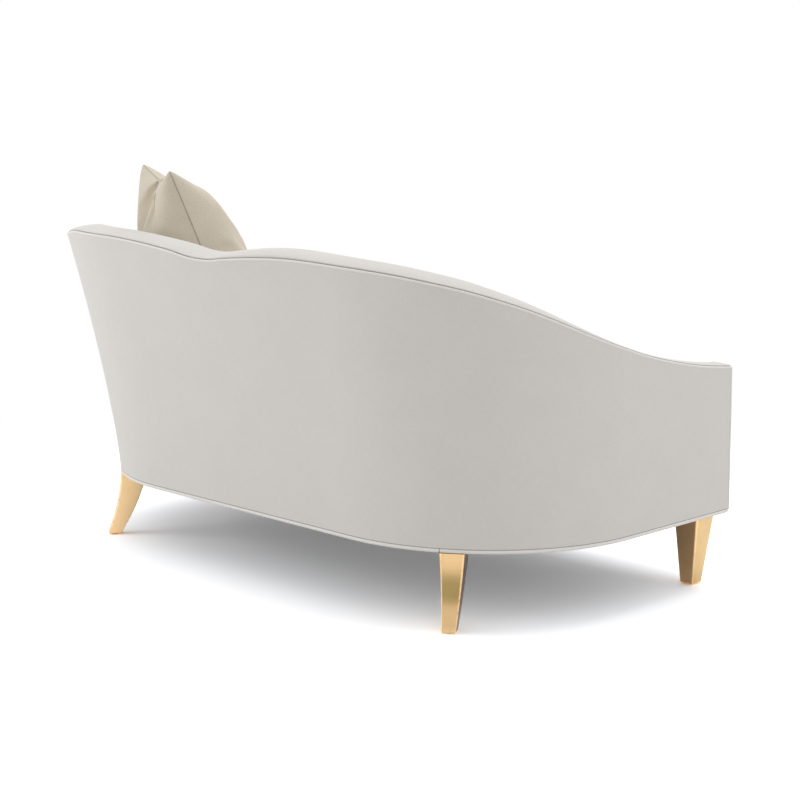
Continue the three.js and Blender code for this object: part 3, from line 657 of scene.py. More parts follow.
def baseWeltCord():
    loop = baseLoop(baseWelt["inset"])
    legRun = runOf(sabrePlace(-1))[0][0]
    spliceX, spliceY, _, _ = planAt(legRun + baseWelt["splice"])
    start = int(np.argmin((loop[:, 0] - spliceX) ** 2 + (loop[:, 1] - spliceY) ** 2))
    loop = np.roll(loop, -start, axis=0)
    first = loop[0] + (loop[1] - loop[0]) * (baseWelt["gap"] / np.linalg.norm(loop[1] - loop[0]))
    loop = np.vstack([first, loop[1:], loop[:1]])
    path = raised(loop, legTop + baseWelt["radius"])
    piece = sweep("base_welt_cord", path, baseWelt["radius"], 16)
    dress(piece, "bottom_welt", material=highlightedWeltLinen)


topWelt()
baseWeltCord()
print("welts made")


# Closed loops of points: drawn inward, and stacked as the layers of a padded board
def loopArea(loop):
    x, y = loop.T
    return float(np.sum(x * np.roll(y, -1) - np.roll(x, -1) * y)) / 2


def drawnIn(loop, distance):
    along = unit(np.roll(loop, -1, 0) - np.roll(loop, 1, 0))
    normals = np.column_stack([-along[:, 1], along[:, 0]])
    return loop + normals * distance * np.sign(loopArea(loop))


# Points spaced evenly along an open or closed line
def evenly(line, pitch, closed=True):
    line = np.vstack([line, line[:1]]) if closed else np.asarray(line)
    steps = np.linalg.norm(np.diff(line, axis=0), axis=1)
    along = np.concatenate([[0], np.cumsum(steps)])
    count = max(3, round(along[-1] / pitch))
    at = np.linspace(0, along[-1], count + 1)[: count if closed else count + 1]
    return np.column_stack([np.interp(at, along, line[:, k]) for k in range(line.shape[1])])


def bandFaces(count, around):
    faces = []
    for low in range(0, (count - 1) * around, around):
        for i in range(around):
            m = (i + 1) % around
            faces.append((low + i, low + m, low + around + m, low + around + i))
    return faces


def layeredPiece(name, layers, flat, seamShades):
    count, around = layers.shape[:2]
    last = (count - 1) * around
    faces = [tuple(reversed(range(around))), *bandFaces(count, around)]
    faces.append(tuple(range(last, last + around)))
    flat = flat.reshape(-1, 2)
    corners = [flat[index] for face in faces for index in face]
    seamShade = np.reshape(seamShades, (count, -1)) + np.zeros((count, around))
    return meshPiece(name, layers.reshape(-1, 3), faces, corners, seamShade)


# Padded board and welt on the front of each arm
armFront = {
    "pitch": 0.004, "tuck": 0.0035,
    # Layers as (depth, inset, painted shade): the outer layers next to the welt carry painted shade in
    # the seam's groove
    "layers": (
        (0.0062, 0.0042, 1.0),
        (0.0045, 0.0056, 1.0),
        (0.0022, 0.0063, 0.7),
        (0.0004, 0.0082, 0.2),
        (-0.0008, 0.0125, 0.0),
        (-0.0016, 0.0200, 0.0),
        (-0.0021, 0.0300, 0.0),
    ),
    "innerShares": (0.25, 0.5, 0.75, 0.93),
}


def armOutline(side, bottom):
    run = 0.0 if side < 0 else wallRun
    top = float(topHeight(run))
    outer = [(0.0, z) for z in np.arange(bottom, top - 0.004, 0.004)]
    keys = [np.array([[inset], [z]]) for inset, z in [(0.0, top - 0.004), (0.0006, top + 0.0005)]]
    keys += [np.reshape([float(value) for value in key], (2, 1)) for key in rollKeys(run)[4:]]
    roll = throughKeys(keys, [4] * (len(keys) - 1))[:, :, 0]
    heights = np.arange(top - wall["rollDrop"], bottom, -0.004)[1:]
    inner = [(float(innerInset(run, z)), z) for z in heights]
    section = np.array([*outer, *roll, *inner, (float(innerInset(run, bottom)), bottom)])
    points = wallPoints(np.full(len(section), run), section[:, 0], section[:, 1])
    return points[:, [0, 2]]


# The line up the middle of an arm's front, and its point nearest to each point of a loop
def armSpine(side, loop):
    run = np.full(len(loop), 0.0 if side < 0 else wallRun)
    half = wall["footThickness"] / 2
    z = np.clip(loop[:, 1], coverBottom + half, topHeight(run) - half)
    return wallPoints(run, innerInset(run, z) / 2, z)[:, [0, 2]]


def armPanel(name, side, node):
    loop = evenly(armOutline(side, coverBottom - armFront["tuck"]), armFront["pitch"])
    toSpine = armSpine(side, loop) - loop
    reach = np.linalg.norm(toSpine, axis=1, keepdims=True)
    layers = []
    for depth, inset, _ in armFront["layers"]:
        x, z = (loop + toSpine * inset / reach).T
        layers.append(np.column_stack([x, np.full(len(x), frontY + depth), z]))
    depth, inset, _ = armFront["layers"][-1]
    for share in armFront["innerShares"]:
        x, z = (loop + toSpine * mixed(inset / reach, 1, share)).T
        layers.append(np.column_stack([x, np.full(len(x), frontY + depth - 0.0006 * share), z]))
    # Painted seam shade of each layer; none on the inner layers
    seamShades = [layer[2] for layer in armFront["layers"]] + [0.0] * len(armFront["innerShares"])
    layers = np.array(layers)
    piece = layeredPiece(name, layers, layers[:, :, [0, 2]], seamShades)
    dress(piece, node)


def armWelt(name, side, node):
    outline = evenly(armOutline(side, coverBottom), armFront["pitch"], closed=False)
    along = unit(np.gradient(outline, axis=0))
    inward = np.column_stack([-along[:, 1], along[:, 0]]) * (1 if side > 0 else -1)
    path = outline + inward * welt["frontInset"]
    path = np.column_stack([path[:, 0], np.full(len(path), frontY + welt["frontInset"]), path[:, 1]])
    piece = sweep(name, path, welt["radius"], normal=(0, 1, 0))
    dress(piece, node, material=highlightedWeltLinen)


for side, end in ((-1, "foot"), (1, "head")):
    armPanel(f"{end}_arm_front_board", side, f"{end}_arm_front_panel")
    armWelt(f"{end}_arm_front_cord", side, f"{end}_arm_front_welt")
print("arm fronts made")


# Border below the cushion, between the two arm fronts
border = {
    "tuck": 0.0035, "round": 0.009, "rows": 16, "dome": 0.0012, "relief": 0.0008,
    "columns": 260,
    "lip": ((0.004, 0.0003), (0.0015, 0.0006), (0.0004, 0.0022)),
}


def frontBorder():
    low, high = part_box("front_border")
    low.z = coverBottom
    x = np.linspace(low.x - border["tuck"], high.x + border["tuck"], border["columns"])
    turn = border["round"]
    section = [(high.y, low.z + 0.001)]
    section += [(low.y + inset, low.z + rise) for inset, rise in border["lip"]]
    for share in np.linspace(0, 1, border["rows"]):
        z = mixed(low.z + 0.004, high.z - turn, share)
        section.append((low.y - border["dome"] * math.sin(math.pi * share), z))
    for angle in np.linspace(0, math.pi / 2, 6)[1:]:
        section.append((low.y + turn * (1 - math.cos(angle)), high.z - turn * (1 - math.sin(angle))))
    section += [(high.y, high.z), (high.y, mixed(low.z, high.z, 0.5))]
    grid = np.array([[(place, y, z) for y, z in section] for place in x])
    z = grid[:, :, 2]
    place = x[:, None] + 0 * z
    pulls = waves(place / 0.03, z / 0.06, 23) * np.exp(-(z - low.z) / 0.03)
    soft = waves(place / 0.14, z / 0.1, 29)
    shown = slice(4, -2)
    relief = border["relief"] * (pulls + 0.8 * soft) * easeIn(z - low.z, 0.002, 0.012)
    normals = gridNormals(grid)
    grid[:, shown, 1] -= np.abs(normals[:, shown, 1]) * relief[:, shown]
    # Painted shade: the border's lowest rows darken along the groove above the base welt
    seamShade = np.zeros(z.shape)
    seamShade[:, :4] = [0.9, 0.9, 0.8, 0.35]
    piece = skin("front_border_band", grid, np.append(x, x[-1]), rowLengths(grid), seamShade)
    dress(piece, "front_border")


frontBorder()


# Plan of the seat inside the wall's inner face, as one closed loop
def seatLoop(z, clearance, frontInset, corner=0.0, pitch=0.01):
    run = columnsBetween(frontInset + corner, wallRun - frontInset - corner, pitch)
    rear = wallPoints(run, innerInset(run, z) + clearance, z)[:, :2]
    front = frontY + frontInset
    (leftX, _), (rightX, _) = rear[0], rear[-1]
    turns = np.linspace(0, math.pi / 2, 7)
    y = front + corner
    head = [(rightX - corner + corner * math.cos(t), y - corner * math.sin(t)) for t in turns[1:]]
    foot = [(leftX + corner - corner * math.sin(t), y - corner * math.cos(t)) for t in turns[:-1]]
    return evenly(np.array([*rear, *head, *foot]), pitch)


deck = {
    "clearance": 0.001, "frontInset": 0.01,
    # Rounds as (rise, inset, painted shade): painted shade darkens the deck's lowest layers along its
    # seam
    "round": ((0.0, 0.0, 0.3), (-0.006, 0.0, 0.2), (-0.0016, 0.0016, 0), (0.0, 0.006, 0),
              (0.0, 0.018, 0)),
}


def seatDeck():
    loop = seatLoop(deckLow.z, deck["clearance"], deck["frontInset"])
    heights = [deckLow.z, *(deckHigh.z + rise for rise, _, _ in deck["round"][1:])]
    insets = [layer[1] for layer in deck["round"]]
    layers = np.array([raised(drawnIn(loop, inset), z) for z, inset in zip(heights, insets)])
    seamShades = [layer[2] for layer in deck["round"]]
    piece = layeredPiece("seat_deck_pad", layers, layers[:, :, :2], seamShades)
    dress(piece, "seat_deck")


seatDeck()
print("border and deck made")


# Black cambric stretched under the frame
dust = {"drop": 0.0012, "sag": 0.0022, "rings": 14, "pitch": 0.02}


def cambricFinish():
    cloth = Finish("blackCambric", srgb(38, 38, 38), 0.95)
    fibres = cloth.noise(cloth.ownUv(), 420.0, 3.0, 0.7, flat=True)
    cloth.speckle(fibres, srgb(26, 26, 26), srgb(58, 58, 57))
    cloth.bump(fibres, 0.0003, 0.4)
    return cloth.material


def dustCloth():
    run = columnsBetween(wall["coverInset"], wallRun - wall["coverInset"], dust["pitch"])
    rear = wallPoints(run, wall["coverInset"], legTop)[:, :2]
    loop = evenly(rear, dust["pitch"])
    middle = loop.mean(axis=0)
    z = baseHigh.z - dust["drop"]
    rings = []
    for share in np.linspace(0, 1, dust["rings"] + 1)[:-1]:
        flat = loop + (middle - loop) * share
        ripple = 1 + 0.5 * waves(flat[:, 0] / 0.11, flat[:, 1] / 0.09, 31)
        sag = dust["sag"] * easeIn(share, 0, 0.35) * ripple
        rings.append(np.column_stack([flat, z - sag]))
    points = np.vstack([*rings, [(*middle, z - dust["sag"])]])
    around = len(loop)
    faces = bandFaces(len(rings), around)
    inner = (len(rings) - 1) * around
    faces += [(inner + i, inner + (i + 1) % around, len(points) - 1) for i in range(around)]
    corners = [points[index][:2] for face in faces for index in face]
    piece = meshPiece("dust_cloth", points, faces, corners)
    dress(piece, "dust_cover", cambricFinish())


dustCloth()
print("dust cloth made")


# Loose bench cushion: boxed, with two welts, a crowned top and puckers along its seams
bench = {
    "gap": 0.004, "frontInset": 0.012, "cornerRound": 0.03, "edgeRound": 0.01, "crown": 0.015,
    "drawIn": 0.0045, "pitch": 0.0085, "boxRows": 12, "topRings": 26, "puckers": 0.0011,
    "soft": 0.0024,
}


def benchHeights():
    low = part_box("seat_cushion")[0].z
    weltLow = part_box("cushion_bottom_welt")
    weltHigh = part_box("cushion_top_welt")
    lower = (weltLow[0].z + weltLow[1].z) / 2
    upper = (weltHigh[0].z + weltHigh[1].z) / 2
    return low, lower, upper, upper + (lower - low)


def benchCushion():
    low, lower, upper, high = benchHeights()
    loop = seatLoop(deckHigh.z, bench["gap"], bench["frontInset"], bench["cornerRound"], bench["pitch"])
    middle = loop.mean(axis=0)
    # Rows as (inset, height, share towards the middle, painted shade): painted shade darkens the rows
    # beside the two welts, in the seams' grooves
    rim = ((0.025, 0.0), (0.017, 0.0012), (0.0105, 0.0042), (0.0070, 0.0070), (0.0062, 0.0098))
    rows = []
    for share in np.linspace(0.97, 0.06, 10):
        rows.append((0.025, low, share, 0.0))
    rows += [(inset, low + rise, 0.0, 1.0 if k > 2 else 0.0) for k, (inset, rise) in enumerate(rim)]
    lip = ((0.0060, 0.0031, 1.0), (0.0036, 0.0062, 0.5), (0.0026, 0.0125, 0.0))
    rows += [(inset, lower + rise, 0.0, seamShade) for inset, rise, seamShade in lip]
    for share in np.linspace(0, 1, bench["boxRows"])[1:-1]:
        hollow = bench["drawIn"] * math.sin(math.pi * share)
        rows.append((0.0026 + hollow, mixed(lower + 0.0125, upper - 0.0125, share), 0.0, 0.0))
    rows += [(inset, upper - rise, 0.0, seamShade) for inset, rise, seamShade in reversed(lip)]
    rows += [(inset, high - rise, 0.0, 1.0 if k < 2 else 0.0)
             for k, (inset, rise) in enumerate(reversed(rim))]
    for share in np.linspace(0, 0.97, bench["topRings"])[1:] ** 1.25:
        rows.append((0.025, high + bench["crown"] * (1 - (1 - share) ** 3), share, 0.0))
    layers = [raised(mixed(drawnIn(loop, inset), middle, share), z) for inset, z, share, _ in rows]
    grid = np.array(layers).transpose(1, 0, 2)
    perimeter = np.arange(len(loop)) * bench["pitch"]
    shares = np.array([row[2] for row in rows])
    z = grid[:, :, 2]
    fromWelt = np.minimum(np.abs(z - upper), np.abs(z - lower)) + 0.3 * shares[None, :]
    x, y = grid[:, :, 0], grid[:, :, 1]
    puckers = waves(perimeter[:, None] / 0.024 + 0 * z, fromWelt / 0.03, 37)
    puckers *= easeIn(fromWelt, 0.004, 0.016) * np.exp(-fromWelt / 0.035)
    fromStart = np.minimum(perimeter, perimeter[-1] - perimeter)
    puckers *= easeIn(fromStart, 0, 0.05)[:, None]
    soft = waves(x / 0.16, y / 0.13, 41) + 0.5 * waves(x / 0.07, y / 0.06, 43)
    onTop = easeIn(z, high - 0.004, high + 0.006)
    normals = gridNormals(grid, loopColumns=True, loopRows=False)
    outward = np.sign(np.sum(normals[:, -1, 2]))
    relief = bench["puckers"] * puckers * (z > lower) + bench["soft"] * soft * onTop
    grid += normals * (outward * relief)[:, :, None]
    layers = grid.transpose(1, 0, 2)
    flat = benchFlat(layers, perimeter, rows)
    piece = layeredPiece("bench_cushion_body", layers, flat, [row[3] for row in rows])
    dress(piece, "seat_cushion", body="bench_cushion")


# UV of the bench cushion: flat on its two panels, along and up on its boxing
def benchFlat(layers, perimeter, rows):
    boxed = np.array([row[2] == 0.0 and row[0] < 0.0065 for row in rows])
    flat = layers[:, :, :2].copy()
    flat[boxed, :, 0] = perimeter[None, :]
    flat[boxed, :, 1] = layers[boxed][:, :, 2]
    return flat


def benchWelt(name, z, node):
    loop = seatLoop(deckHigh.z, bench["gap"], bench["frontInset"], bench["cornerRound"], 0.006)
    piece = sweep(name, raised(drawnIn(loop, welt["radius"]), z), welt["radius"], loop=True)
    dress(piece, node, material=highlightedWeltLinen, body="bench_cushion")


benchCushion()
_, lowerWelt, upperWelt, _ = benchHeights()
benchWelt("bench_lower_cord", lowerWelt, "cushion_bottom_welt")
benchWelt("bench_upper_cord", upperWelt, "cushion_top_welt")
print("bench cushion made")


# Throw pillow: two flat panels sewn together, blown up by cloth while its top seam is chopped
pillow = {
    "halfWidth": 0.33, "halfHeight": 0.345, "cells": 72, "frames": 30, "restFrames": 8,
    "chop": 0.072, "chopHalfWidth": 0.045, "topWidth": 0.525, "bottomWidth": 0.62,
    "shoulder": {"x": -0.14, "z": 0.54, "wide": 0.13, "tall": 0.085, "out": 0.017},
    "height": 0.66, "thickness": 0.3, "fromHead": 0.485, "fromBack": 0.34,
    "turn": math.radians(-28),
    "lean": math.radians(21.4),
    "sink": 0.01, "clearance": 0.002, "softness": 0.007,
}
pillowCloth = {
    "quality": 5, "mass": 0.3, "tension_stiffness": 40.0, "compression_stiffness": 40.0,
    "shear_stiffness": 5, "bending_stiffness": 0.5, "air_damping": 2, "use_pressure": True,
    "uniform_pressure_force": 2.5, "vertex_group_mass": "chop", "pin_stiffness": 1,
}


def pillowBlank():
    cells = pillow["cells"]
    places = np.linspace(-1, 1, cells + 1)
    index = {}
    points = []
    flat = []
    for face in (1, -1):
        for j in range(cells + 1):
            for i in range(cells + 1):
                rim = i in (0, cells) or j in (0, cells)
                if rim and face < 0:
                    index[face, i, j] = index[1, i, j]
                    continue
                index[face, i, j] = len(points)
                x, z = places[i] * pillow["halfWidth"], places[j] * pillow["halfHeight"]
                points.append((x, 0.0 if rim else 0.004 * face, z))
                flat.append((x, z, rim))
    faces = []
    for face in (1, -1):
        for j in range(cells):
            for i in range(cells):
                quad = [index[face, a, b] for a, b in ((i, j), (i + 1, j), (i + 1, j + 1), (i, j + 1))]
                faces.append(tuple(quad if face < 0 else reversed(quad)))
    corners = [flat[k][:2] for face in faces for k in face]
    # Painted shade along the rim, in the crease where the two panels are sewn together
    seamShade = [1.0 if rim else 0.0 for _, _, rim in flat]
    piece = meshPiece("throw_pillow_body", points, faces, corners, seamShade)
    chopped = [k for k, (x, z, rim) in enumerate(flat)
               if rim and z > 0.999 * pillow["halfHeight"] and abs(x) < pillow["chopHalfWidth"]]
    return piece, chopped


def blowUp(piece, chopped):
    pins = piece.vertex_groups.new(name="chop")
    pins.add(chopped, 1.0, "ADD")
    piece.shape_key_add(name="flat")
    key = piece.shape_key_add(name="chopped")
    for k in chopped:
        share = key.data[k].co.x / pillow["chopHalfWidth"]
        key.data[k].co.z -= pillow["chop"] * (0.5 + 0.5 * math.cos(math.pi * share))
    key.value = 0
    key.keyframe_insert("value", frame=1)
    key.value = 1
    key.keyframe_insert("value", frame=pillow["frames"] - pillow["restFrames"])
    cloth = piece.modifiers.new("cloth", "CLOTH")
    for setting, value in pillowCloth.items():
        setattr(cloth.settings, setting, value)
    cloth.settings.effector_weights.gravity = 0
    cloth.point_cache.frame_end = pillow["frames"]
    for step in range(1, pillow["frames"] + 1):
        scene.frame_set(step)
    shape = piece.evaluated_get(bpy.context.evaluated_depsgraph_get()).to_mesh()
    blown = np.array([vertex.co for vertex in shape.vertices])
    scene.frame_set(1)
    piece.modifiers.clear()
    piece.shape_key_clear()
    piece.vertex_groups.clear()
    if piece.data.animation_data:
        piece.data.animation_data_clear()
    return blown


# The blown shape is scaled to the pillow's size and leaned into the head corner
def seatPillow(blown):
    low, high = blown.min(axis=0), blown.max(axis=0)
    size = np.array([1, pillow["thickness"], pillow["height"]])
    local = (blown - (low + high) / 2) / (high - low) * size
    local[:, 2] += pillow["height"] / 2
    up = local[:, 2] / pillow["height"]
    local[:, 0] *= mixed(pillow["bottomWidth"], pillow["topWidth"], up ** 2)
    # The front panel is fuller near the ear that leans away from the wall
    x, y, z = local.T
    look = pillow["shoulder"]
    full = np.exp(-((x - look["x"]) / look["wide"]) ** 2 - ((z - look["z"]) / look["tall"]) ** 2)
    local[:, 1] -= look["out"] * full * easeIn(-y, 0.0, 0.07)
    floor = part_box("throw_pillow")[0].z
    spot = (baseMiddle.x + baseWidth / 2 - pillow["fromHead"],
            baseMiddle.y + baseDepth / 2 - pillow["fromBack"],
            floor - pillow["sink"])
    turn = Matrix.Rotation(pillow["turn"], 3, "Z") @ Matrix.Rotation(-pillow["lean"], 3, "X")
    placed = local @ np.array(turn).T + spot
    soft = pillow["softness"]
    placed[:, 2] = floor + soft * np.logaddexp(0, (placed[:, 2] - floor) / soft)
    run, out = runOf(placed)
    inset = outerReach(run, placed[:, 2]) - out
    room = inset - wallInset(run, placed[:, 2]) - pillow["clearance"]
    push = soft * np.logaddexp(0, -room / soft) * (room < 0.05)
    _, _, nx, ny = planAt(run)
    placed[:, 0] -= nx * push
    placed[:, 1] -= ny * push
    return placed


# Inset of the wall's inner face at a height, with the curve of the roll
def wallInset(run, z):
    top = topHeight(run)
    start = top - wall["rollDrop"]
    below = innerInset(run, np.minimum(z, start))
    share = np.clip((z - start) / (wall["rollDrop"] + welt["radius"] + 0.9 * crownAt(run)), 0, 1)
    insets, _, falls = np.array(rollShares[:2:-1]).T
    rolled = np.interp(share, 1 - falls, insets)
    above = z > top + welt["radius"] + crownAt(run)
    return np.where(above, -1.0, below * rolled)


def throwPillow():
    piece, chopped = pillowBlank()
    placed = seatPillow(blowUp(piece, chopped))
    piece.data.vertices.foreach_set("co", placed.astype(np.float32).ravel())
    piece.data.update()
    bpy.context.view_layer.objects.active = piece
    smooth = piece.modifiers.new("smooth", "SUBSURF")
    smooth.levels = smooth.render_levels = 1
    piece.select_set(True)
    bpy.ops.object.modifier_apply(modifier="smooth")
    deselect()
    return piece


# The pillow's seam colour is painted shade in the crease along its seam, kept narrow
pillowLook = {
    "color": srgb(216, 207, 190), "shade": srgb(188, 177, 154),
    "seamShadeColor": srgb(140, 130, 108), "thread": 0.0022, "slub": 0.005, "weave": 1.5,
    "mottle": 0.5, "relief": 0.0009, "seamShadePower": 7.0,
}
pillowLinen = clothFinish("pillowLinen", pillowLook)
dress(throwPillow(), "throw_pillow", pillowLinen, "pillow")
print("throw pillow made")


# Gilded legs: the leaf is toned at random and rubbed through to red-brown bole at the edges; painted
# highlights, painted shade and painted dark reflections lie on it by the side each face turns to the
# light
# Colours of the leaf and its bole, and of the painted shade, painted dark reflection and painted
# highlights laid over the leaf
gilding = {
    "gold": srgb(218, 184, 134), "deep": srgb(196, 161, 108), "reflectionOlive": srgb(160, 136, 84),
    "shadeBrown": srgb(104, 62, 40), "highlightPale": srgb(246, 212, 162), "edge": srgb(240, 200, 150),
    "bole": srgb(132, 76, 54),
}


def gildedFinish():
    gold = Finish("gildedWood", gilding["gold"], 0.34, Metallic=0.85, Coat_Weight=0.15,
                  Coat_Roughness=0.2)
    place = gold.place()
    clouds = gold.noise(place, 16.0, 2.0, 0.5)
    leaf = gold.noise(place, 70.0, 4.0, 0.6)
    tone = gold.blendColor(((clouds - 0.45) * 2.2).clip() * 0.7, gilding["gold"], gilding["deep"])
    # Painted dark reflection: an olive band across the sabre legs' outer faces, and a wash of it on the
    # front legs' outer sides
    tone = gold.blendColor(gold.painted("reflectionOlive") * (clouds * 0.5 + 0.65).clip(), tone, gilding["reflectionOlive"])
    # Painted highlight on the rear legs' sides away from the arm
    tone = gold.blendColor(gold.painted("highlightPale") * 0.9, tone, gilding["highlightPale"])
    # Painted shade and dark reflection: brown on the sides towards the arm and on the front legs' rear
    # faces
    tone = gold.blendColor(gold.painted("shadeBrown") * (leaf * 0.4 + 0.8).clip(), tone, gilding["shadeBrown"])
    # Painted highlight along the rounded edges, and red-brown bole where the leaf is rubbed through
    # there
    edge = gold.painted("edge")
    tone = gold.blendColor(edge * 0.75, tone, gilding["edge"])
    rub = edge * ((leaf - 0.52) * 4.0).clip() * 0.5
    gold.feed("Base Color", gold.blendColor(rub, tone, gilding["bole"]))
    gold.feed("Roughness", (leaf * 0.2 + clouds * 0.14 + 0.16).clip())
    gold.bump(leaf, 0.0002, 0.2)
    return gold.material


gildedWood = gildedFinish()


# In edit mode, leaves only the elements selected that pass a test
def choose(mesh, elements, chosen):
    bpy.ops.mesh.select_all(action="DESELECT")
    bpy.ops.object.mode_set(mode="OBJECT")
    for element in getattr(mesh, elements):
        element.select = chosen(element)
    bpy.ops.object.mode_set(mode="EDIT")


def isUpright(mesh, edge):
    a, b = (mesh.vertices[k].co.z for k in edge.vertices)
    return abs(a - b) > 1e-4


# A square block with rounded upright edges, whose lowest face is drawn down step by step into a leg
def drawnLeg(name, levels):
    deselect()
    (top, x, y, wide, deep), first = levels[:2]
    bpy.ops.mesh.primitive_cube_add(size=1, location=(x, y, (top + first[0]) / 2),
                                    scale=(wide, deep, top - first[0]))
    leg = bpy.context.object
    leg.name = leg.data.name = name
    bpy.ops.object.transform_apply(location=True, rotation=True, scale=True)
    bpy.ops.object.mode_set(mode="EDIT")
    bpy.ops.mesh.select_mode(type="EDGE")
    choose(leg.data, "edges", lambda edge: isUpright(leg.data, edge))
    bpy.ops.mesh.bevel(offset=legs["rounding"], segments=4)
    bpy.ops.mesh.select_mode(type="FACE")
    choose(leg.data, "polygons", lambda polygon: polygon.normal.z < -0.9)
    before = (first[0], x, y, wide, deep)
    for k, level in enumerate(levels[1:]):
        z, x, y, wide, deep = level
        move = (x - before[1], y - before[2], z - before[0])
        if k:
            bpy.ops.mesh.extrude_region_move(TRANSFORM_OT_translate={"value": move})
        else:
            bpy.ops.transform.translate(value=move)
        size = (wide / before[3], deep / before[4], 1)
        bpy.ops.transform.resize(value=size, center_override=(x, y, z))
        before = level
    bpy.ops.object.mode_set(mode="OBJECT")
    bpy.ops.object.shade_smooth_by_angle(angle=math.radians(30))
    return leg


# The last levels of a leg, drawn in to round its foot
def withRoundFoot(levelAt):
    tall = levelAt(0)[0] - levelAt(1)[0]
    radius = legs["footRounding"]
    levels = [levelAt(share) for share in np.linspace(0, 1 - radius / tall, legs["steps"] + 1)]
    for angle in np.radians((30, 60, 90)):
        z, x, y, wide, deep = levelAt(1 - (1 - math.sin(angle)) * radius / tall)
        inset = 2 * radius * (1 - math.cos(angle))
        levels.append((z, x, y, wide - inset, deep - inset))
    return levels


# Light and wear painted on the corners of each leg's faces before it is turned into place: painted
# shade and dark reflection on the side towards the arm and on a front leg's rear face, painted dark
# reflection on the outer faces, painted highlight on a rear leg's side away from the arm, and painted
# highlight with rubbed wear on the rounded edges
def paintLeg(leg, side, atRear):
    mesh = leg.data
    low = min(vertex.co.z for vertex in mesh.vertices)
    tall = max(vertex.co.z for vertex in mesh.vertices) - low
    lightAndWearPaint = {name: np.zeros(len(mesh.loops), np.float32) for name in ("edge", "shadeBrown", "reflectionOlive", "highlightPale")}
    shadeBrown = 1.0 if atRear else legs["frontShadeBrown"]
    band = legs["band"]
    for polygon in mesh.polygons:
        normal = polygon.normal
        rounded = min(abs(normal.x), abs(normal.y)) > 0.12
        shadedSide = normal.x * side > 0.8 if atRear else normal.y > 0.8
        for corner in polygon.loop_indices:
            z = mesh.vertices[mesh.loops[corner].vertex_index].co.z - low
            share = z / tall
            # Painted highlight on the rounded edges and the foot's rounding; the finish also rubs the
            # bole through there
            if rounded or (z < legs["footRounding"] and abs(normal.z) > 0.3):
                lightAndWearPaint["edge"][corner] = 1.0
            # Painted shade and dark reflection on a rear leg's side towards the arm and on a front
            # leg's rear face, a little lighter towards the foot
            elif shadedSide:
                lightAndWearPaint["shadeBrown"][corner] = mixed(legs["shadeBrownLow"], 1.0, share) * shadeBrown
            # Painted dark reflection: a light wash on a front leg's outer side, and a band across the
            # middle of a rear leg's outer face
            elif not atRear and normal.x * side > 0.8:
                lightAndWearPaint["reflectionOlive"][corner] = legs["frontReflectionOlive"]
            elif atRear and normal.y > 0.8:
                lightAndWearPaint["reflectionOlive"][corner] = math.exp(-((share - band["at"]) / band["half"]) ** 4)
            # Painted highlight on a rear leg's side away from the arm, strongest at the foot
            elif atRear and normal.x * side < -0.8:
                lightAndWearPaint["highlightPale"][corner] = mixed(1.0, legs["highlightPaleTop"], share)
    for name, values in lightAndWearPaint.items():
        mesh.attributes.new(name, "FLOAT", "CORNER").data.foreach_set("value", values)


legs = {
    # Besides the leg's shape, these set how strongly the painted shade, painted dark reflection and
    # painted highlight lie on the leaf, and where the painted reflection's band runs
    "rounding": 0.0048, "footRounding": 0.0045, "steps": 16, "shadeBrownLow": 0.88,
    "frontShadeBrown": 0.55, "frontReflectionOlive": 0.4, "highlightPaleTop": 0.35,
    "band": {"at": 0.55, "half": 0.2},
    "front": {"top": 0.078, "foot": 0.0405, "footShift": 0.003},
    "rear": {
        "topWidth": 0.064, "footWidth": 0.036, "topDepth": 0.077, "footDepth": 0.037,
        "splay": 0.042, "splayPower": 1.85,
    },
}


# A leg's level at a share of its way down: z, middle and sizes
def frontLevel(top, foot, side, share):
    look = legs["front"]
    wide = mixed(look["top"], look["foot"], share)
    shift = look["footShift"] * share
    return mixed(top, foot, share), -side * shift, shift, wide, wide


def rearLevel(top, foot, share):
    look = legs["rear"]
    deep = mixed(look["topDepth"], look["footDepth"], share)
    wide = mixed(look["topWidth"], look["footWidth"], share)
    y = look["splay"] * share ** look["splayPower"] - deep / 2
    return mixed(top, foot, share), 0.0, y, wide, deep


def gildedLeg(place, levelAt, side, x, y, turn=0.0):
    leg = drawnLeg(f"gilded_leg_{place}", withRoundFoot(levelAt))
    paintLeg(leg, side, place.startswith("rear"))
    leg.location = (x, y, 0)
    leg.rotation_euler = (0, 0, turn)
    bpy.ops.object.transform_apply(location=True, rotation=True, scale=True)
    turnOutward(leg)
    deselect()
    dress(leg, f"leg_{place}", gildedWood)


for end, side in (("foot", -1), ("head", 1)):
    low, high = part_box(f"leg_front_{end}_end")
    top, foot = high.z, low.z
    gildedLeg(f"front_{end}_end", lambda share: frontLevel(top, foot, side, share), side,
              (low.x + high.x) / 2, (low.y + high.y) / 2)
    px, py, nx, ny = (float(value[0]) for value in planAt(runOf(sabrePlace(side))[0]))
    gildedLeg(f"rear_{end}_end", lambda share: rearLevel(top, foot, share), side,
              px, py, math.atan2(ny, nx) - math.pi / 2)
print("legs made")


# Finishes of the frame inside, its springs and bolts, and the glides under the legs
def woodFinish(axis):
    wood = Finish(f"frameWood{axis}", srgb(196, 164, 118), 0.62)
    stretch = [0.12 if letter == axis else 1 for letter in "XYZ"]
    along = wood.stretched(wood.place(), *stretch)
    grain = wood.noise(along, 55.0, 4.0, 0.6)
    broad = wood.noise(along, 9.0, 2.0)
    tone = ((grain - 0.4) * 1.7 + (broad - 0.5) * 0.9).clip()
    wood.speckle(tone, srgb(205, 175, 131), srgb(160, 122, 78))
    wood.feed("Roughness", (grain * 0.2 + 0.52).clip())
    wood.bump(grain, 0.0004, 0.5)
    return wood.material


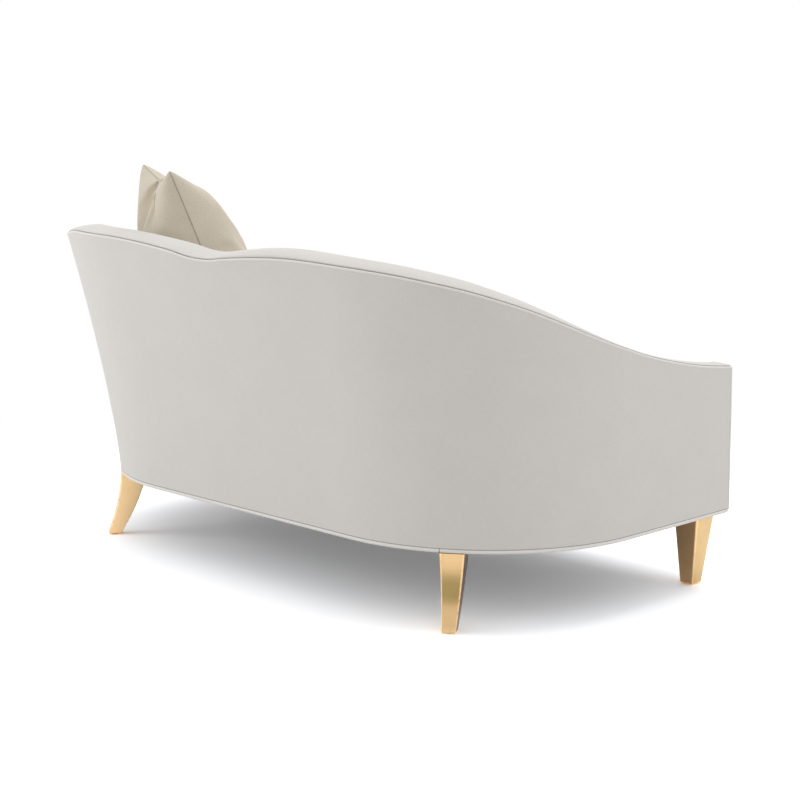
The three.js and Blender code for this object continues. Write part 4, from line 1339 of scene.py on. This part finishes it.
def steelFinish():
    steel = Finish("zincSteel", srgb(168, 170, 174), 0.38, Metallic=0.95)
    spots = steel.noise(steel.place(), 140.0, 3.0)
    steel.speckle(spots, srgb(150, 152, 157), srgb(182, 184, 188), (0.25, 0.26))
    return steel.material


def nylonFinish():
    nylon = Finish("glideNylon", srgb(52, 44, 38), 0.5)
    grain = nylon.noise(nylon.place(), 900.0, 2.0)
    nylon.speckle(grain, srgb(46, 39, 34), srgb(60, 52, 45), (0.2, 0.4))
    nylon.bump(grain, 0.0002, 0.3)
    return nylon.material


frameWoods = {axis: woodFinish(axis) for axis in "XYZ"}
zincSteel = steelFinish()
glideNylon = nylonFinish()


def finishNode(name, node):
    if name.startswith(("seat_spring", "hanger_bolt", "bolt_nut")):
        material = zincSteel
    elif name.startswith("leg_glide"):
        material = glideNylon
    else:
        low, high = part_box(name)
        sizes = high - low
        material = frameWoods["XYZ"[max(range(3), key=lambda k: sizes[k])]]
    for materialSlot in node.material_slots:
        materialSlot.material = material


hidden = ("rail", "post", "rib", "block", "spring", "bolt", "nut", "glide")
for name, node in nodes.items():
    if any(word in name for word in hidden):
        finishNode(name, node)
print("frame, springs and hardware finished")


# Floor: it shows as white, and keeps the shadow of the sofa
floorLook = {
    "size": 30.0,
    "color": (0.8, 0.8, 0.8),
    "seenColor": (1.6, 1.615, 1.65),
    "lift": 0.08, "near": 1.7, "far": 2.6,
}


def floorFinish():
    floor = Finish("paleFloor", floorLook["color"], 1.0)
    lit = floor.add("ShaderNodeBsdfDiffuse", None, {"Color": floorLook["color"]})
    bright = floor.add("ShaderNodeBsdfDiffuse", None, {"Color": floorLook["seenColor"]})
    bright = floor.add("ShaderNodeAddShader", None, [bright, floor.emission(floorLook["lift"])])
    middle = (baseMiddle.x, baseMiddle.y, 0)
    centred = floor.add("ShaderNodeVectorMath", {"operation": "SUBTRACT"}, [floor.place(), middle])
    distance = floor.add("ShaderNodeVectorMath", {"operation": "LENGTH"}, [centred], output=1)
    away = ((distance - floorLook["near"]) / (floorLook["far"] - floorLook["near"])).clip()
    floor.show(floor.mix(floor.seen(), lit, floor.mix(away, bright, floor.emission(1.0))))
    floor.tree.nodes.remove(floor.shader)
    return floor.material


def studioFloor():
    deselect()
    bpy.ops.mesh.primitive_plane_add(size=floorLook["size"], location=(0, 0, 0))
    floor = bpy.context.object
    floor.name = "studio_floor"
    floor.data.materials.append(floorFinish())
    deselect()


studioFloor()


# World: soft light all round, seen as white
worldLook = {"light": 0.71}


def studioWorld():
    scene.world = bpy.data.worlds.new("studioWorld")
    world = NodeTree(scene.world, "ShaderNodeOutputWorld")
    soft, white = (world.emission(strength, "Background") for strength in (worldLook["light"], 1.0))
    world.show(world.mix(world.seen(), soft, white))


studioWorld()


# Lamps: (place from the base's middle, aim, size, watts)
lamps = {
    "overheadBox": ((0.1, -1.0, 3.25), (0.0, 0.0, 0.5), 3.0, 38),
    "leftBox": ((3.0, 3.4, 1.4), (0.0, 0.0, 0.4), 2.4, 47),
    "rightBox": ((-4.4, -1.4, 1.2), (0.0, 0.0, 0.3), 2.2, 16),
}


def placeLamp(name, place, aim, size, watts):
    light = bpy.data.lights.new(name, "AREA")
    light.shape = "SQUARE"
    light.size = size
    light.energy = watts
    lamp = bpy.data.objects.new(name, light)
    scene.collection.objects.link(lamp)
    middle = Vector((baseMiddle.x, baseMiddle.y, 0))
    lamp.location = middle + Vector(place)
    lamp.rotation_euler = (Vector(aim) - Vector(place)).to_track_quat("-Z", "Y").to_euler()


for name, values in lamps.items():
    placeLamp(name, *values)


cameraLook = {
    "fromMiddle": (-3.5615, 3.39425, 1.2925),
    "heading": (0.712, -0.702),
    "pitch": math.radians(9.76),
    "lens": 78.5,
}


def studioCamera():
    data = bpy.data.cameras.new("photoCamera")
    data.lens = cameraLook["lens"]
    data.sensor_width = 36.0
    camera = bpy.data.objects.new("photoCamera", data)
    scene.collection.objects.link(camera)
    x, y, z = cameraLook["fromMiddle"]
    camera.location = (baseMiddle.x + x, baseMiddle.y + y, z)
    level = math.cos(cameraLook["pitch"])
    ahead = Vector((cameraLook["heading"][0] * level, cameraLook["heading"][1] * level,
                    -math.sin(cameraLook["pitch"])))
    camera.rotation_euler = ahead.to_track_quat("-Z", "Y").to_euler()
    scene.camera = camera


studioCamera()
scene.view_settings.view_transform = "Standard"
print("stage, lamps and camera ready")
